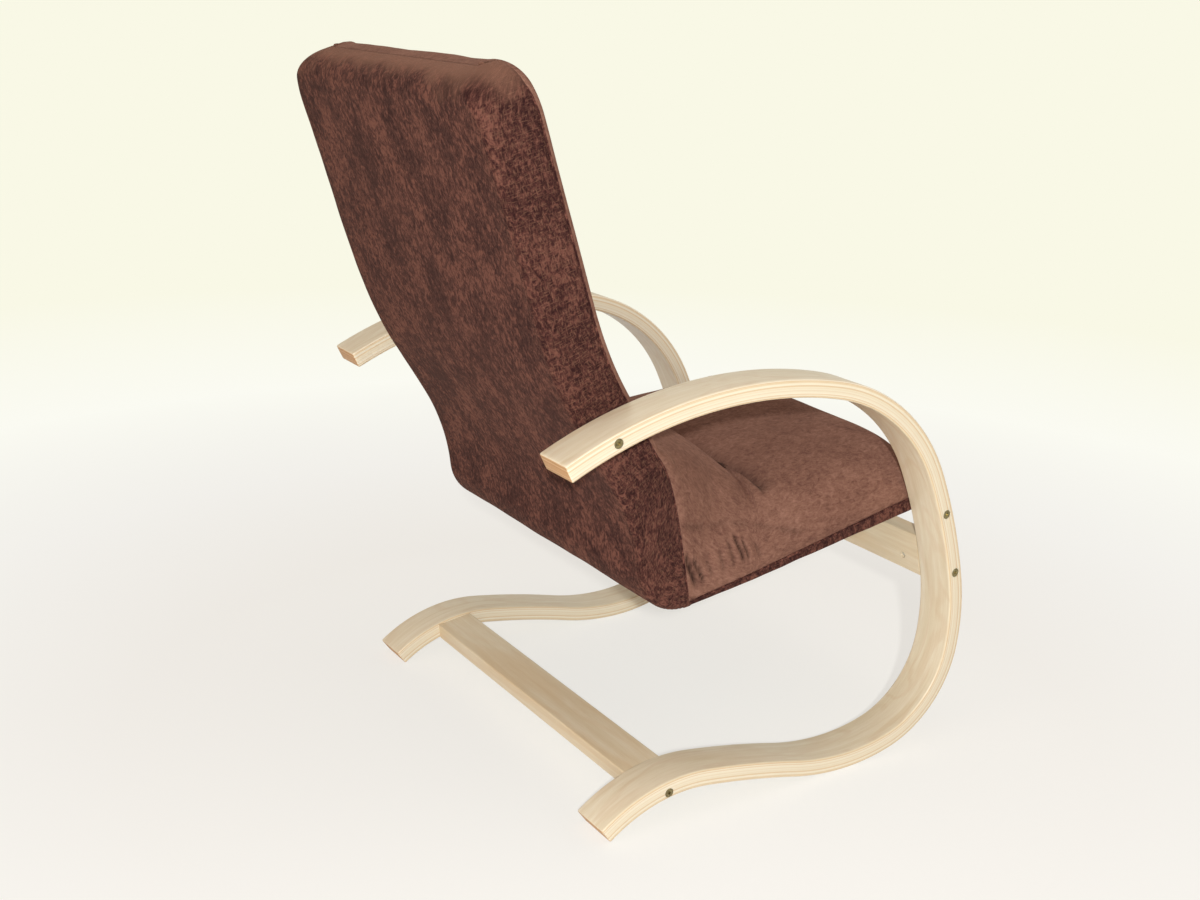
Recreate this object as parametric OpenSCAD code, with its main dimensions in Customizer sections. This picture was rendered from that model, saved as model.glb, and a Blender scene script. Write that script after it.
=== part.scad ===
/* [Side frames] */
// Width over both side frames
overall_w = 650; // [560:5:760]
// Width of the laminated strip
strip_w = 60; // [45:1:75]
// Thickness of the laminated strip
strip_t = 24; // [20:0.5:28]
// Rounding along the strip's edges
strip_edge_r = 3; // [1:0.5:5]
// Radius of the bend that lifts off the floor in front
toe_r = 295; // [260:5:330]
// Radius of the tight bend at the front
knee_r = 145; // [125:5:165]
// Radius of the bend that ends upright
shin_r = 295; // [260:5:330]
// Radius of the first bend of the upright
post_low_r = 290; // [260:5:330]
// Radius of the long slack bend of the upright
post_r = 750; // [680:10:820]
// Radius of the bend from upright to arm
elbow_r = 262; // [240:2:290]
// Radius of the arm
arm_r = 600; // [550:10:660]
// Radius of the hollow bend of the runner
runner_low_r = 360; // [320:10:400]
// Radius of the long slack bend of the runner
runner_r = 1320; // [1200:20:1450]
// Radius of the rear foot
heel_r = 208; // [190:2:230]
// Depth that is sanded flat where a frame stands on the floor
sole_flat = 0.5; // [0.2:0.1:1]

/* [Bend angles] */
// Turn of the bend that lifts off the floor
toe_turn = 15; // [12:0.5:18]
// Turn of the tight bend at the front
knee_turn = 68; // [64:0.5:72]
// Turn of the first bend of the upright
post_low_turn = 13; // [10:0.5:16]
// Turn of the slack bend of the upright
post_turn = 12.5; // [10:0.5:15]
// Turn from upright to arm
elbow_turn = 52.5; // [49:0.5:56]
// Turn of the arm up to its rear end
arm_turn = 39; // [36:0.5:42]
// Turn of the hollow bend of the runner
runner_low_turn = 14; // [12:0.5:16]
// Turn of the slack bend of the runner
runner_turn = 6.5; // [5:0.5:8]

/* [Rails] */
// Height of the front rail
front_rail_h = 65; // [50:1:75]
// Distance of the front rail's middle above its bolt
front_rail_rise = 10; // [4:1:14]
// Width of the rear rail
rear_rail_w = 56; // [45:1:65]
// Distance of the rear rail below the middle of the strip
rear_rail_drop = 4; // [2:0.5:6]
// Thickness of both rails
rail_t = 24; // [20:0.5:28]
// Rounding along the rails' edges
rail_edge_r = 2; // [1:0.5:4]

/* [Bolts] */
// Diameter of a bolt's shank
bolt_d = 6; // [5:0.5:8]
// Diameter of a bolt's head
head_d = 12; // [10:0.5:14]
// Height of a bolt's head
head_h = 3; // [2:0.5:5]
// Width across the flats of a bolt's hexagon socket
socket_w = 4; // [3:0.5:5]
// Depth of a bolt's hexagon socket
socket_depth = 2; // [1:0.5:2.5]
// Diameter of a barrel nut
barrel_d = 10; // [9:0.5:12]
// Length of a barrel nut
barrel_l = 16; // [12:1:18]
// Distance of a barrel nut from the rail's end
barrel_inset = 32; // [26:1:40]
// Length of bolt past the middle of a barrel nut
bolt_past_nut = 8; // [6:1:12]
// Diameter of a threaded insert
insert_d = 10; // [9:0.5:12]
// Length of a threaded insert
insert_l = 18; // [14:1:24]
// Diameter of a dowel
dowel_d = 8; // [6:0.5:10]
// Length of a dowel
dowel_l = 50; // [40:1:60]
// Depth of a dowel in the strip
dowel_in_strip = 20; // [15:1:28]
// Distance between dowel and bolt
dowel_pitch = 22; // [18:0.5:24]

/* [Shell frame] */
// Thickness of the bent side members
member_t = 18; // [14:1:22]
// Width of the bent side members
member_w = 45; // [35:1:55]
// Rounding along the side members' edges
member_edge_r = 8; // [7:0.5:8.5]
// Radius of the covered corner under the back
corner_r = 65; // [55:1:80]
// Turn of the corner under the back
corner_turn = 93.5; // [90:0.5:98]
// Radius of the hollow of the back
lumbar_r = 290; // [260:2:310]
// Turn of the hollow of the back
lumbar_turn = 25; // [22:0.5:27]
// Length of the straight below the arm bolt
waist_l = 92; // [76:2:110]
// Radius of the bend above the arm bolt
shoulder_r = 560; // [500:10:620]
// Turn of the bend above the arm bolt
shoulder_turn = 14; // [12:0.5:16]
// Length of the straight top of the back
upper_back_l = 294; // [270:2:320]
// Length of the seat in front of its bolt
seat_nose_l = 20; // [16:1:30]
// Width of a cross rail
cross_rail_w = 60; // [45:1:75]
// Diameter of a cross rail's screws
screw_d = 5; // [4:0.5:6]
// Diameter of a screw's head
screw_head_d = 9; // [8:0.5:11]
// Length of a cross rail's screws
screw_l = 80; // [65:1:100]
// Distance between the two screws of a joint
screw_pitch = 26; // [22:1:30]

/* [Upholstery] */
// Thickness of the covers
cover_t = 2; // [1.5:0.5:3]
// Thickness of the wadding between cover and frame
wadding_t = 1; // [0.5:0.5:2]
// Width of a webbing strap
strap_w = 50; // [40:1:60]
// Thickness of a webbing strap
strap_t = 2; // [1:0.5:3]
// Gap between two straps
strap_gap = 22; // [12:1:30]
// Depth of the back's dark sides
back_side_d = 70; // [60:1:85]
// Depth of the back at its middle
back_d = 94; // [85:1:110]
// Depth of the seat at its front, at its middle
seat_front_d = 98; // [90:1:106]
// Depth of the seat at the crease, at its middle
seat_rear_d = 126; // [118:1:134]
// Length of the seat's top from its front to the crease
seat_top_l = 254; // [240:2:270]
// Depth of the crease between seat and back
crease_d = 16; // [8:1:20]
// Height of the dark band at the seat's front
band_front_h = 21; // [18:1:26]
// Height of the dark band at its rear end
band_rear_h = 11; // [8:1:16]
// Rounding of the top of the back, seen from the side
top_roll_r = 30; // [22:1:36]
// Rounding of the top corners, seen from the rear
top_corner_r = 64; // [40:1:70]
// Rounding of the seat's front edge
nose_roll_r = 30; // [22:1:38]
// Rounding of the seat's front corners, seen from above
nose_corner_r = 12; // [8:1:13]
// Rounding of the rear edges
rear_edge_r = 12; // [11:0.5:16]

/* [Fits] */
// Play of a bolt or screw in its bore
bolt_play = 0.4; // [0.2:0.1:0.8]
// Play between faces that lie against each other
face_play = 0.2; // [0.1:0.1:0.3]
// Overrun of a cut past a face
overrun = 1; // [0.5:0.5:2]

/* [Hidden] */
$fa = 3;
$fs = 1;

birch = "#dcc393";
brown_dark = "#4a2a24";
brown_light = "#6b4238";
brass = "#8d7a3c";

// Frame of the outlines: first coordinate to the rear, second upwards.
// An arc is [radius, turn], with a turn to the left counted as positive.
function dir(h) = [cos(h), sin(h)];
function left(h) = [-sin(h), cos(h)];
function centre_of(p, h, s) = p + s[0] * sign(s[1]) * left(h);
function after(p, h, s) =
    s[1] == 0 ? p + s[0] * dir(h)
    : centre_of(p, h, s) - s[0] * sign(s[1]) * left(h + s[1]);
function part_way(p, h, s, turn) = after(p, h, [s[0], sign(s[1]) * turn]);
// State after a number of segments: [point, heading].
function state(p, h, segs, n, i = 0) =
    i == n ? [p, h] : state(after(p, h, segs[i]), h + segs[i][1], segs, n, i + 1);

// Side frame, from the lowest point of the front bend
shin_turn = 90 - toe_turn - knee_turn;
up_segs = [
    [toe_r, -toe_turn], [knee_r, -knee_turn], [shin_r, -shin_turn],
    [post_low_r, -post_low_turn], [post_r, -post_turn],
    [elbow_r, -elbow_turn], [arm_r, -arm_turn]];
rear_two = [[runner_low_r, runner_low_turn], [runner_r, -runner_turn]];
half_t = strip_t / 2;
// Places are first worked out from a frame whose lowest point is at zero
sole_mid = [0, half_t - sole_flat];
heel_from = state(sole_mid, 0, rear_two, 2);
heel_centre = centre_of(heel_from[0], heel_from[1], [heel_r, -1]);
heel_outer = heel_r - half_t;
// The heel ends where its outer corner reaches the floor
heel_turn = heel_from[1] + 90 - asin((-heel_centre[1] - sole_flat) / heel_outer);
rear_segs = concat(rear_two, [[heel_r, -heel_turn]]);

upright = state(sole_mid, 180, up_segs, 3);
front_most = upright[0][0] - half_t;

// Bolt places along the side frame
seat_bolt_turn = 8;
arm_bolt_turn = 32.2;
front_rail_turn = 0.8;
rear_rail_turn = 17;
post_from = state(sole_mid, 180, up_segs, 4);
seat_bolt = part_way(post_from[0], post_from[1], up_segs[4], seat_bolt_turn);
arm_from = state(sole_mid, 180, up_segs, 6);
arm_bolt = part_way(arm_from[0], arm_from[1], up_segs[6], arm_bolt_turn);
foot_mid = part_way(heel_from[0], heel_from[1], rear_segs[2], rear_rail_turn);
foot_lean = heel_from[1] - rear_rail_turn;
rear_bolt = foot_mid - rear_rail_drop * left(foot_lean);
front_bolt = part_way(post_from[0], post_from[1], up_segs[4], front_rail_turn);
front_rail_lean = post_from[1] - front_rail_turn;

inner_half = overall_w / 2 - strip_w;

// Shell, from the point where the seat's straight ends in the corner.
// It hangs on the arm bolt and the seat bolt.
member_depth = cover_t + wadding_t + member_t / 2;
mid_segs = [
    [corner_r - member_depth, corner_turn], [lumbar_r + member_depth, -lumbar_turn],
    [waist_l, 0], [shoulder_r - member_depth, shoulder_turn], [upper_back_l, 0]];
arm_in_shell = state([0, 0], 0, mid_segs, 3)[0];
span = norm(arm_bolt - seat_bolt);
seat_l = sqrt(span * span - arm_in_shell[1] * arm_in_shell[1]) - arm_in_shell[0];
to_arm = arm_bolt - seat_bolt;
shell_turn = atan2(to_arm[1], to_arm[0])
    - atan2(arm_in_shell[1], arm_in_shell[0] + seat_l);
function turned(p, a) = [p[0] * cos(a) - p[1] * sin(a), p[0] * sin(a) + p[1] * cos(a)];
corner_at = seat_bolt + seat_l * dir(shell_turn);

// Outer face of the shell: rear of the back and underside of the seat
outer_segs = [
    [corner_r, corner_turn], [lumbar_r, -lumbar_turn],
    [waist_l, 0], [shoulder_r, shoulder_turn], [upper_back_l, 0]];
outer_start = [0, -member_depth];
back_top = state(outer_start, 0, outer_segs, 5);
back_heading = back_top[1];

// The rear-most point of the shell is on the top roll of the back
roll_at = back_top[0] - top_roll_r * dir(back_heading) + top_roll_r * left(back_heading);
rear_in_shell = corner_at + turned(roll_at, shell_turn) + [top_roll_r, 0];
rear_most = rear_in_shell[0];
shift_y = -(front_most + rear_most) / 2;

shell_half = inner_half - face_play;
member_half = shell_half - cover_t - wadding_t;
echo(front_most = front_most + shift_y, rear_most = rear_most + shift_y,
     seat_l = seat_l, shell_turn = shell_turn, heel_turn = heel_turn,
     seat_bolt = seat_bolt + [shift_y, 0], arm_bolt = arm_bolt + [shift_y, 0],
     front_bolt = front_bolt + [shift_y, 0], rear_bolt = rear_bolt + [shift_y, 0],
     shift_y = shift_y, corner = corner_at + [shift_y, 0]);

// Outline plane to the object's frame: rear along Y, up along Z, extruded along X
module stood() { translate([0, shift_y, 0]) rotate([90, 0, 90]) children(); }
module in_shell() {
    stood() translate([corner_at[0], corner_at[1], 0]) rotate([0, 0, shell_turn]) children();
}
module both_sides() { children(); mirror([1, 0, 0]) children(); }

// Section with rounded edges
module rounded_section(t, w, r) {
    square([t - 2 * r, w], center = true);
    square([t, w - 2 * r], center = true);
    for (i = [-1, 1], j = [-1, 1])
        translate([i * (t / 2 - r), j * (w / 2 - r)]) circle(r = r);
}
// One arc or straight, with its section in the child
module run_of(p, h, s) {
    if (s[1] == 0)
        translate([p[0], p[1], 0]) rotate([0, 0, h]) rotate([90, 0, 90])
            linear_extrude(height = s[0]) children();
    else {
        c = centre_of(p, h, s);
        from = s[1] > 0 ? h - 90 : h + 90 + s[1];
        translate([c[0], c[1], 0]) rotate([0, 0, from])
            rotate_extrude(angle = abs(s[1])) translate([s[0], 0]) children();
    }
}
// Points and headings along a chain of segments, closer together than a step
function seg_len(s) = s[1] == 0 ? s[0] : s[0] * abs(s[1]) * PI / 180;
function seg_points(p, h, s, step) =
    let (n = s[1] == 0 ? 1 : ceil(seg_len(s) / step))
    [for (i = [1 : n]) s[1] == 0 ? [after(p, h, s), h]
        : [part_way(p, h, s, abs(s[1]) * i / n), h + s[1] * i / n]];
function chain_points(p, h, segs, step) = concat([[p, h]],
    [for (i = [0 : len(segs) - 1])
        let (s = state(p, h, segs, i)) each seg_points(s[0], s[1], segs[i], step)]);
// Solid along a chain: rings of a section, given as [towards the left, across]
module sweep(along, section) {
    rows = len(along);
    cols = len(section);
    points = [for (a = along, c = section)
        let (q = a[0] + c[0] * left(a[1])) [q[0], q[1], c[1]]];
    polyhedron(points = points, faces = concat(
        [for (r = [0 : rows - 2], c = [0 : cols - 1])
            let (a = r * cols + c, b = r * cols + (c + 1) % cols)
            [a, a + cols, b + cols, b]],
        [[for (c = [0 : cols - 1]) c]],
        [[for (c = [cols - 1 : -1 : 0]) (rows - 1) * cols + c]]));
}
function round_section(t, w, r, x) = [for (q = [0 : 3], a = [0, 45, 90])
    let (i = (q == 0 || q == 3) ? -1 : 1, j = q < 2 ? -1 : 1, b = 180 + q * 90 + a)
    [i * (t / 2 - r) + r * cos(b), x + j * (w / 2 - r) + r * sin(b)]];

// Cylinder across the object, in the outline plane, on the left side
module across(p, x0, x1, d) {
    translate([p[0], p[1], min(x0, x1)]) cylinder(h = abs(x1 - x0), d = d);
}

fit_play = 0.1;
outer_face = overall_w / 2;
strip_mid = outer_face - strip_w / 2;

// Side frames
module frame_bores() {
    head_bore = head_d + 2 * bolt_play;
    for (p = [arm_bolt, seat_bolt, front_bolt, rear_bolt]) {
        across(p, inner_half - overrun, outer_face + overrun, bolt_d + bolt_play);
        across(p, outer_face - head_h - bolt_play, outer_face + overrun, head_bore);
    }
    for (p = [front_dowel, rear_dowel])
        across(p, inner_half - overrun, inner_half + dowel_in_strip + fit_play,
               dowel_d + fit_play);
}
bend_step = strip_w / 4;
up_line = chain_points(sole_mid, 180, up_segs, bend_step);
rear_line_points = chain_points(sole_mid, 0, rear_segs, bend_step);
frame_line = concat(
    [for (i = [len(up_line) - 1 : -1 : 1]) [up_line[i][0], up_line[i][1] - 180]],
    rear_line_points);
module side_frame() {
    under = 2 * heel_r;
    difference() {
        stood() difference() {
            sweep(frame_line, round_section(strip_t, strip_w, strip_edge_r, strip_mid));
            frame_bores();
        }
        translate([0, -under, -under]) cube([overall_w, 2 * under, under]);
    }
}
module side_frame_left() { color(birch) side_frame(); }
module side_frame_right() { color(birch) mirror([1, 0, 0]) side_frame(); }

// Rails between the side frames. A rail's own frame has its length along z,
// its thickness along x and its width along y.
rail_half = inner_half - face_play;
front_rail_mid = front_bolt + front_rail_rise * dir(front_rail_lean);
front_dowel = front_bolt + dowel_pitch * dir(front_rail_lean);
rear_dowel = rear_bolt + (dowel_pitch - rail_edge_r - rail_edge_r) * dir(foot_lean);

module rail_body(mid, lean, w) {
    translate([mid[0], mid[1], 0]) rotate([0, 0, lean + 90])
        linear_extrude(height = 2 * rail_half, center = true)
            rounded_section(rail_t, w, rail_edge_r);
}
// Bores in both ends of a rail
module rail_bores(bolt_at, dowel_at, lean, nut_side) {
    end_of_bolt = inner_half - barrel_inset - bolt_past_nut - bolt_play;
    end_of_dowel = inner_half - (dowel_l - dowel_in_strip) - fit_play;
    for (m = [0, 1]) mirror([0, 0, m]) {
        across(bolt_at, end_of_bolt, inner_half + overrun, bolt_d + bolt_play);
        across(dowel_at, end_of_dowel, inner_half + overrun, dowel_d + fit_play);
        nut_place(bolt_at, lean, nut_side)
            translate([0, 0, -barrel_l / 2])
                cylinder(h = barrel_l / 2 + rail_t / 2 + overrun, d = barrel_d + fit_play);
    }
}
// Frame of a barrel nut: its axis along z, pointing to the side it is put in from
module nut_place(bolt_at, lean, nut_side) {
    translate([bolt_at[0], bolt_at[1], inner_half - barrel_inset])
        rotate([0, 0, lean + 90 + (nut_side > 0 ? 180 : 0)]) rotate([0, 90, 0]) children();
}
module front_rail() {
    color(birch) stood() difference() {
        rail_body(front_rail_mid, front_rail_lean, front_rail_h);
        rail_bores(front_bolt, front_dowel, front_rail_lean, 1);
    }
}
module rear_rail() {
    color(birch) stood() difference() {
        rail_body(rear_bolt, foot_lean, rear_rail_w);
        rail_bores(rear_bolt, rear_dowel, foot_lean, 1);
    }
}
module nuts(bolt_at, lean) {
    color(brass) both_sides() stood() nut_place(bolt_at, lean, 1) difference() {
        translate([0, 0, -barrel_l / 2]) cylinder(h = barrel_l, d = barrel_d);
        rotate([0, 90, 0]) cross_bore();
    }
}
module cross_bore() {
    cylinder(h = barrel_d + 2 * overrun, d = bolt_d + fit_play, center = true);
}
module front_rail_nuts() { nuts(front_bolt, front_rail_lean); }
module rear_rail_nuts() { nuts(rear_bolt, foot_lean); }
module dowels(at) {
    color(birch) both_sides() stood()
        across(at, inner_half + dowel_in_strip, inner_half + dowel_in_strip - dowel_l, dowel_d);
}
module front_rail_dowels() { dowels(front_dowel); }
module rear_rail_dowels() { dowels(rear_dowel); }

// Bolts: sunk round head with a hexagon socket, shank inwards to x = end
module bolt(p, end) {
    top = outer_face - bolt_play / 2;
    difference() {
        union() {
            across(p, top - head_h, top, head_d);
            across(p, end, top - head_h / 2, bolt_d);
        }
        translate([p[0], p[1], top - socket_depth])
            cylinder(h = socket_depth + overrun, d = socket_w / cos(30), $fn = 6);
    }
}
module bolts(p, end) { color(brass) both_sides() stood() bolt(p, end); }
rail_bolt_end = inner_half - barrel_inset - bolt_past_nut;
shell_bolt_end = member_half - insert_l + bolt_play;
module front_rail_bolts() { bolts(front_bolt, rail_bolt_end); }
module rear_rail_bolts() { bolts(rear_bolt, rail_bolt_end); }
module arm_bolts() { bolts(arm_bolt, shell_bolt_end); }
module seat_bolts() { bolts(seat_bolt, shell_bolt_end); }
module inserts(p) {
    color(brass) both_sides() stood() difference() {
        across(p, member_half - insert_l, member_half, insert_d);
        across(p, member_half - insert_l - overrun, member_half + overrun, bolt_d + fit_play);
    }
}
module arm_inserts() { inserts(arm_bolt); }
module seat_inserts() { inserts(seat_bolt); }

// Shell frame, in the shell's own outline frame
seat_len = seat_l + seat_nose_l;
frame_top_l = upper_back_l - top_corner_r;
member_segs = [
    [seat_len - nose_corner_r, 0], mid_segs[0], mid_segs[1], mid_segs[2], mid_segs[3],
    [frame_top_l, 0]];
member_start = [nose_corner_r - seat_len, 0];
member_inner = member_half - member_w;

// Places of the cross rails along the members: [segment, middle]
front_cross_at = seat_nose_l - nose_corner_r + screw_pitch + cover_t;
rear_cross_at = member_segs[0][0] - cross_rail_w;
lumbar_cross_at = waist_l / 2;
top_cross_at = frame_top_l - cross_rail_w / 2;
crosses = [[0, front_cross_at], [0, rear_cross_at], [3, lumbar_cross_at], [5, top_cross_at]];

module at_member(seg, along) {
    s = state(member_start, 0, member_segs, seg);
    q = s[0] + along * dir(s[1]);
    translate([q[0], q[1], 0]) rotate([0, 0, s[1]]) children();
}
module screw_axis(side) {
    for (j = [-1, 1]) mirror([0, 0, side]) translate([j * screw_pitch / 2, 0, 0]) children();
}
module shell_side(side) {
    difference() {
        in_shell() difference() {
            sweep(chain_points(member_start, 0, member_segs, bend_step),
                  round_section(member_t, member_w, member_edge_r,
                                side * (member_half - member_w / 2)));
            for (c = crosses) at_member(c[0], c[1]) screw_axis(side > 0 ? 0 : 1) {
                translate([0, 0, member_inner - overrun])
                    cylinder(h = member_w + 2 * overrun, d = screw_d + bolt_play);
                translate([0, 0, member_half - head_h - bolt_play])
                    cylinder(h = head_h + 2 * overrun, d = screw_head_d + bolt_play);
            }
        }
        mirror([side > 0 ? 0 : 1, 0, 0]) stood() for (p = [arm_bolt, seat_bolt])
            across(p, member_half - insert_l - fit_play, member_half + overrun,
                   insert_d + fit_play);
    }
}
module shell_side_left() { color(birch) shell_side(1); }
module shell_side_right() { color(birch) shell_side(-1); }

module cross_rail(c) {
    half = member_inner - face_play / 2;
    color(birch) in_shell() at_member(c[0], c[1]) difference() {
        cube([cross_rail_w, member_t, 2 * half], center = true);
        for (side = [0, 1]) screw_axis(side)
            translate([0, 0, member_half - screw_l - fit_play])
                cylinder(h = screw_l, d = screw_d + fit_play);
    }
}
module seat_front_cross_rail() { cross_rail(crosses[0]); }
module seat_rear_cross_rail() { cross_rail(crosses[1]); }
module lumbar_cross_rail() { cross_rail(crosses[2]); }
module top_cross_rail() { cross_rail(crosses[3]); }
module cross_rail_screws() {
    color(brass) in_shell() for (c = crosses) at_member(c[0], c[1])
        for (side = [0, 1]) screw_axis(side) {
            translate([0, 0, member_half - screw_l]) cylinder(h = screw_l, d = screw_d);
            translate([0, 0, member_half - head_h]) cylinder(h = head_h, d = screw_head_d);
        }
}

// Webbing: straps across the members' faces towards the sitter
strap_lift = member_t / 2 + strap_t / 2 + fit_play;
function lifted(segs, q) = [for (s = segs) s[1] == 0 ? s : [s[0] - sign(s[1]) * q, s[1]]];
strap_segs = lifted(member_segs, strap_lift);
strap_start = member_start + strap_lift * left(0);
strap_step = strap_w + strap_gap;
module strap_run(seg) {
    s = state(strap_start, 0, strap_segs, seg);
    g = strap_segs[seg];
    l = seg_len(g);
    n = max(1, floor((l + strap_gap) / strap_step));
    from = (l - n * strap_step + strap_gap) / 2;
    for (i = [0 : n - 1]) {
        a = from + i * strap_step;
        p = g[1] == 0 ? s[0] + a * dir(s[1]) : part_way(s[0], s[1], g, abs(g[1]) * a / l);
        h = s[1] + g[1] * a / l;
        run_of(p, h, g[1] == 0 ? [strap_w, 0] : [g[0], g[1] * strap_w / l])
            square([strap_t, 2 * member_half - strap_t], center = true);
    }
}
module seat_webbing() { color("#3a3733") in_shell() strap_run(0); }
module back_webbing() { color("#3a3733") in_shell() for (i = [2 : 5]) strap_run(i); }

// Upholstery. A station is [rear point, direction to the front, depth, side seam].
back_fan_l = seg_len(outer_segs[0]) + seg_len(outer_segs[1]);
fan_lead = corner_r + corner_r / 2;
waist_from = state(outer_start, 0, outer_segs, 2);
crease_at = [seat_top_l - seat_len, seat_rear_d - member_depth - crease_d / 2];
waist_front = waist_from[0] + back_d * left(waist_from[1]);
bulge = crease_d;
bulge_at = (crease_at + waist_front) / 2
    + 2 * bulge * left(atan2(waist_front[1] - crease_at[1], waist_front[0] - crease_at[0]));
function bow(t) = (1 - t) * (1 - t) * crease_at + 2 * t * (1 - t) * bulge_at
    + t * t * waist_front;
function rear_point(l) =
    l <= 0 ? outer_start + [l, 0]
    : l <= seg_len(outer_segs[0])
        ? part_way(outer_start, 0, outer_segs[0], l / outer_segs[0][0] * 180 / PI)
    : let (s = state(outer_start, 0, outer_segs, 1))
        part_way(s[0], s[1], outer_segs[1],
                 (l - seg_len(outer_segs[0])) / outer_segs[1][0] * 180 / PI);
function unit(v) = v / norm(v);

// Station in the seat: t from 0 at the nose to 1 at the crease
function seat_station(t) =
    let (b = [-seat_len + t * (seat_len - fan_lead), -member_depth],
         f = [-seat_len + t * seat_top_l,
              seat_front_d + t * (seat_rear_d - seat_front_d) - member_depth])
    [b, unit(f - b), norm(f - b), band_front_h + t * (band_rear_h - band_front_h), 0];
// Station in the fan between seat and back: t from 0 at the crease to 1 at the waist
lead_share = 0.3;
function fan_place(t) = t < lead_share ? -fan_lead * (1 - t / lead_share)
    : back_fan_l * (t - lead_share) / (1 - lead_share);
function fan_station(t) =
    let (b = rear_point(fan_place(t)),
         f = bow(t), e = unit(f - b), d = norm(f - b),
         seam_x = (waist_from[0][0] + back_side_d * left(waist_from[1])[0]) * pow(t, 5),
         share = (b[0] - seam_x) / max(b[0] - f[0], strap_t))
    [b, e, d, max(band_rear_h, share * d), 0];
// Station in the back above the waist, at length l past the waist
back_l = waist_l + seg_len(outer_segs[3]) + upper_back_l;
function back_state(l) =
    let (s = waist_from)
    l <= waist_l ? [s[0] + l * dir(s[1]), s[1]]
    : let (q = state(outer_start, 0, outer_segs, 3), m = l - waist_l,
           arc = seg_len(outer_segs[3]), turn = m / outer_segs[3][0] * 180 / PI)
    m <= arc ? [part_way(q[0], q[1], outer_segs[3], turn), q[1] + turn]
    : let (u = state(outer_start, 0, outer_segs, 4)) [u[0] + (m - arc) * dir(u[1]), u[1]];
function back_station(l) =
    let (s = back_state(l)) [s[0], left(s[1]), back_d, back_side_d, 0];

// Row of stations from nose to top, with a skin of thickness d taken off.
// A row is [rear point, direction, front depth, seam, rear depth, half width].
roll_steps = [90, 67.5, 45, 22.5, 0];
function taper(half, r, dist, d) =
    dist >= r ? half - d
    : half - r + sqrt(max(0, (r - d) * (r - d) - (r - dist) * (r - dist)));
function nose_row(i, d) =
    let (r = nose_roll_r - d, dist = d + r * (1 - sin(i)),
         s = seat_station(dist / seat_len))
    [s[0], s[1], s[2] - d - r * (1 - cos(i)), s[3], d,
     taper(shell_half, nose_corner_r, dist, d)];
function plain_row(s, d) = [s[0], s[1], s[2] - d, s[3], d, shell_half - d];
function top_row(i, d) =
    let (r = top_roll_r - d, dist = d + r * (1 - sin(i)), s = back_station(back_l - dist))
    [s[0], s[1], s[2] - d - r * (1 - cos(i)), min(s[3], s[2] - d - r * (1 - cos(i)) - d),
     d + r * (1 - cos(i)), taper(shell_half, top_corner_r, dist, d)];
function corner_row(dist, d) =
    let (s = back_station(back_l - dist))
    [s[0], s[1], s[2] - d, s[3], d, taper(shell_half, top_corner_r, dist, d)];
seat_count = 5;
fan_count = 10;
back_count = 6;
function seat_rows(d) = concat(
    [for (a = roll_steps) if (a > 0) nose_row(a, d)], [nose_row(0, d)],
    [for (i = [1 : seat_count - 1])
        plain_row(seat_station(i / seat_count + (1 - i / seat_count)
            * nose_roll_r / seat_len), d)]);
function fan_rows(d, from, to) = [for (i = [from : to])
    let (s = fan_station(i / fan_count)) plain_row(s, d)];
function back_rows(d) = concat(
    [for (i = [1 : back_count]) plain_row(
        back_station(i / back_count * (back_l - top_corner_r)), d)],
    [corner_row((top_corner_r + top_roll_r) / 2, d)],
    [for (a = [0, 22.5, 45, 67.5, 90]) top_row(a, d)]);

// Crown across the front: a flat pillow with full sides
front_spans = 12;
function front_line(row, crease) = [for (k = [0 : front_spans])
    let (a = 180 * k / front_spans, c = cos(a),
         v = -row[5] * sign(c) * sqrt(abs(c)),
         dip = crease * (1 - pow(abs(v) / row[5], 4)),
         n = row[3] + (row[2] - row[3] - dip) * sin(a))
    [row[0][0] + row[1][0] * n, row[0][1] + row[1][1] * n, v]];
// Line round the rear from one side seam to the other
rear_arc = [0, 30, 60, 90];
function rear_line(row, d) =
    let (r = max(fit_play / 2, min(rear_edge_r - d, row[3] - row[4] - fit_play)),
         half = [for (a = rear_arc) [row[5] - r * (1 - cos(a)), row[4] + r * (1 - sin(a))]],
         side = concat([[row[5], row[3]]], half))
    concat([for (p = side) section_point(row, -p[0], p[1])],
           [section_point(row, 0, row[4])],
           [for (i = [len(side) - 1 : -1 : 0]) section_point(row, side[i][0], side[i][1])]);
function section_point(row, v, n) =
    [row[0][0] + row[1][0] * n, row[0][1] + row[1][1] * n, v];

// Closed sheet between two grids of points, the second on its left
function grid_faces(rows, cols, base, flip) = [for (r = [0 : rows - 2], c = [0 : cols - 2])
    let (a = base + r * cols + c, b = a + 1, e = a + cols, f = e + 1)
    each (flip ? [[a, b, f], [a, f, e]] : [[a, f, b], [a, e, f]])];
function rim(line, step, flip) = [for (i = [0 : len(line) - 2])
    let (a = line[i], b = line[i + 1], c = a + step, d = b + step)
    each (flip ? [[a, c, d], [a, d, b]] : [[a, d, c], [a, b, d]])];
module sheet(one, two) {
    rows = len(one);
    cols = len(one[0]);
    n = rows * cols;
    points = [each [for (r = one) each r], each [for (r = two) each r]];
    polyhedron(points = points, faces = concat(
        grid_faces(rows, cols, 0, true), grid_faces(rows, cols, n, false),
        rim([for (c = [0 : cols - 1]) c], n, true),
        rim([for (c = [0 : cols - 1]) (rows - 1) * cols + c], n, false),
        rim([for (r = [0 : rows - 1]) r * cols], n, false),
        rim([for (r = [0 : rows - 1]) r * cols + cols - 1], n, true)));
}
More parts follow.
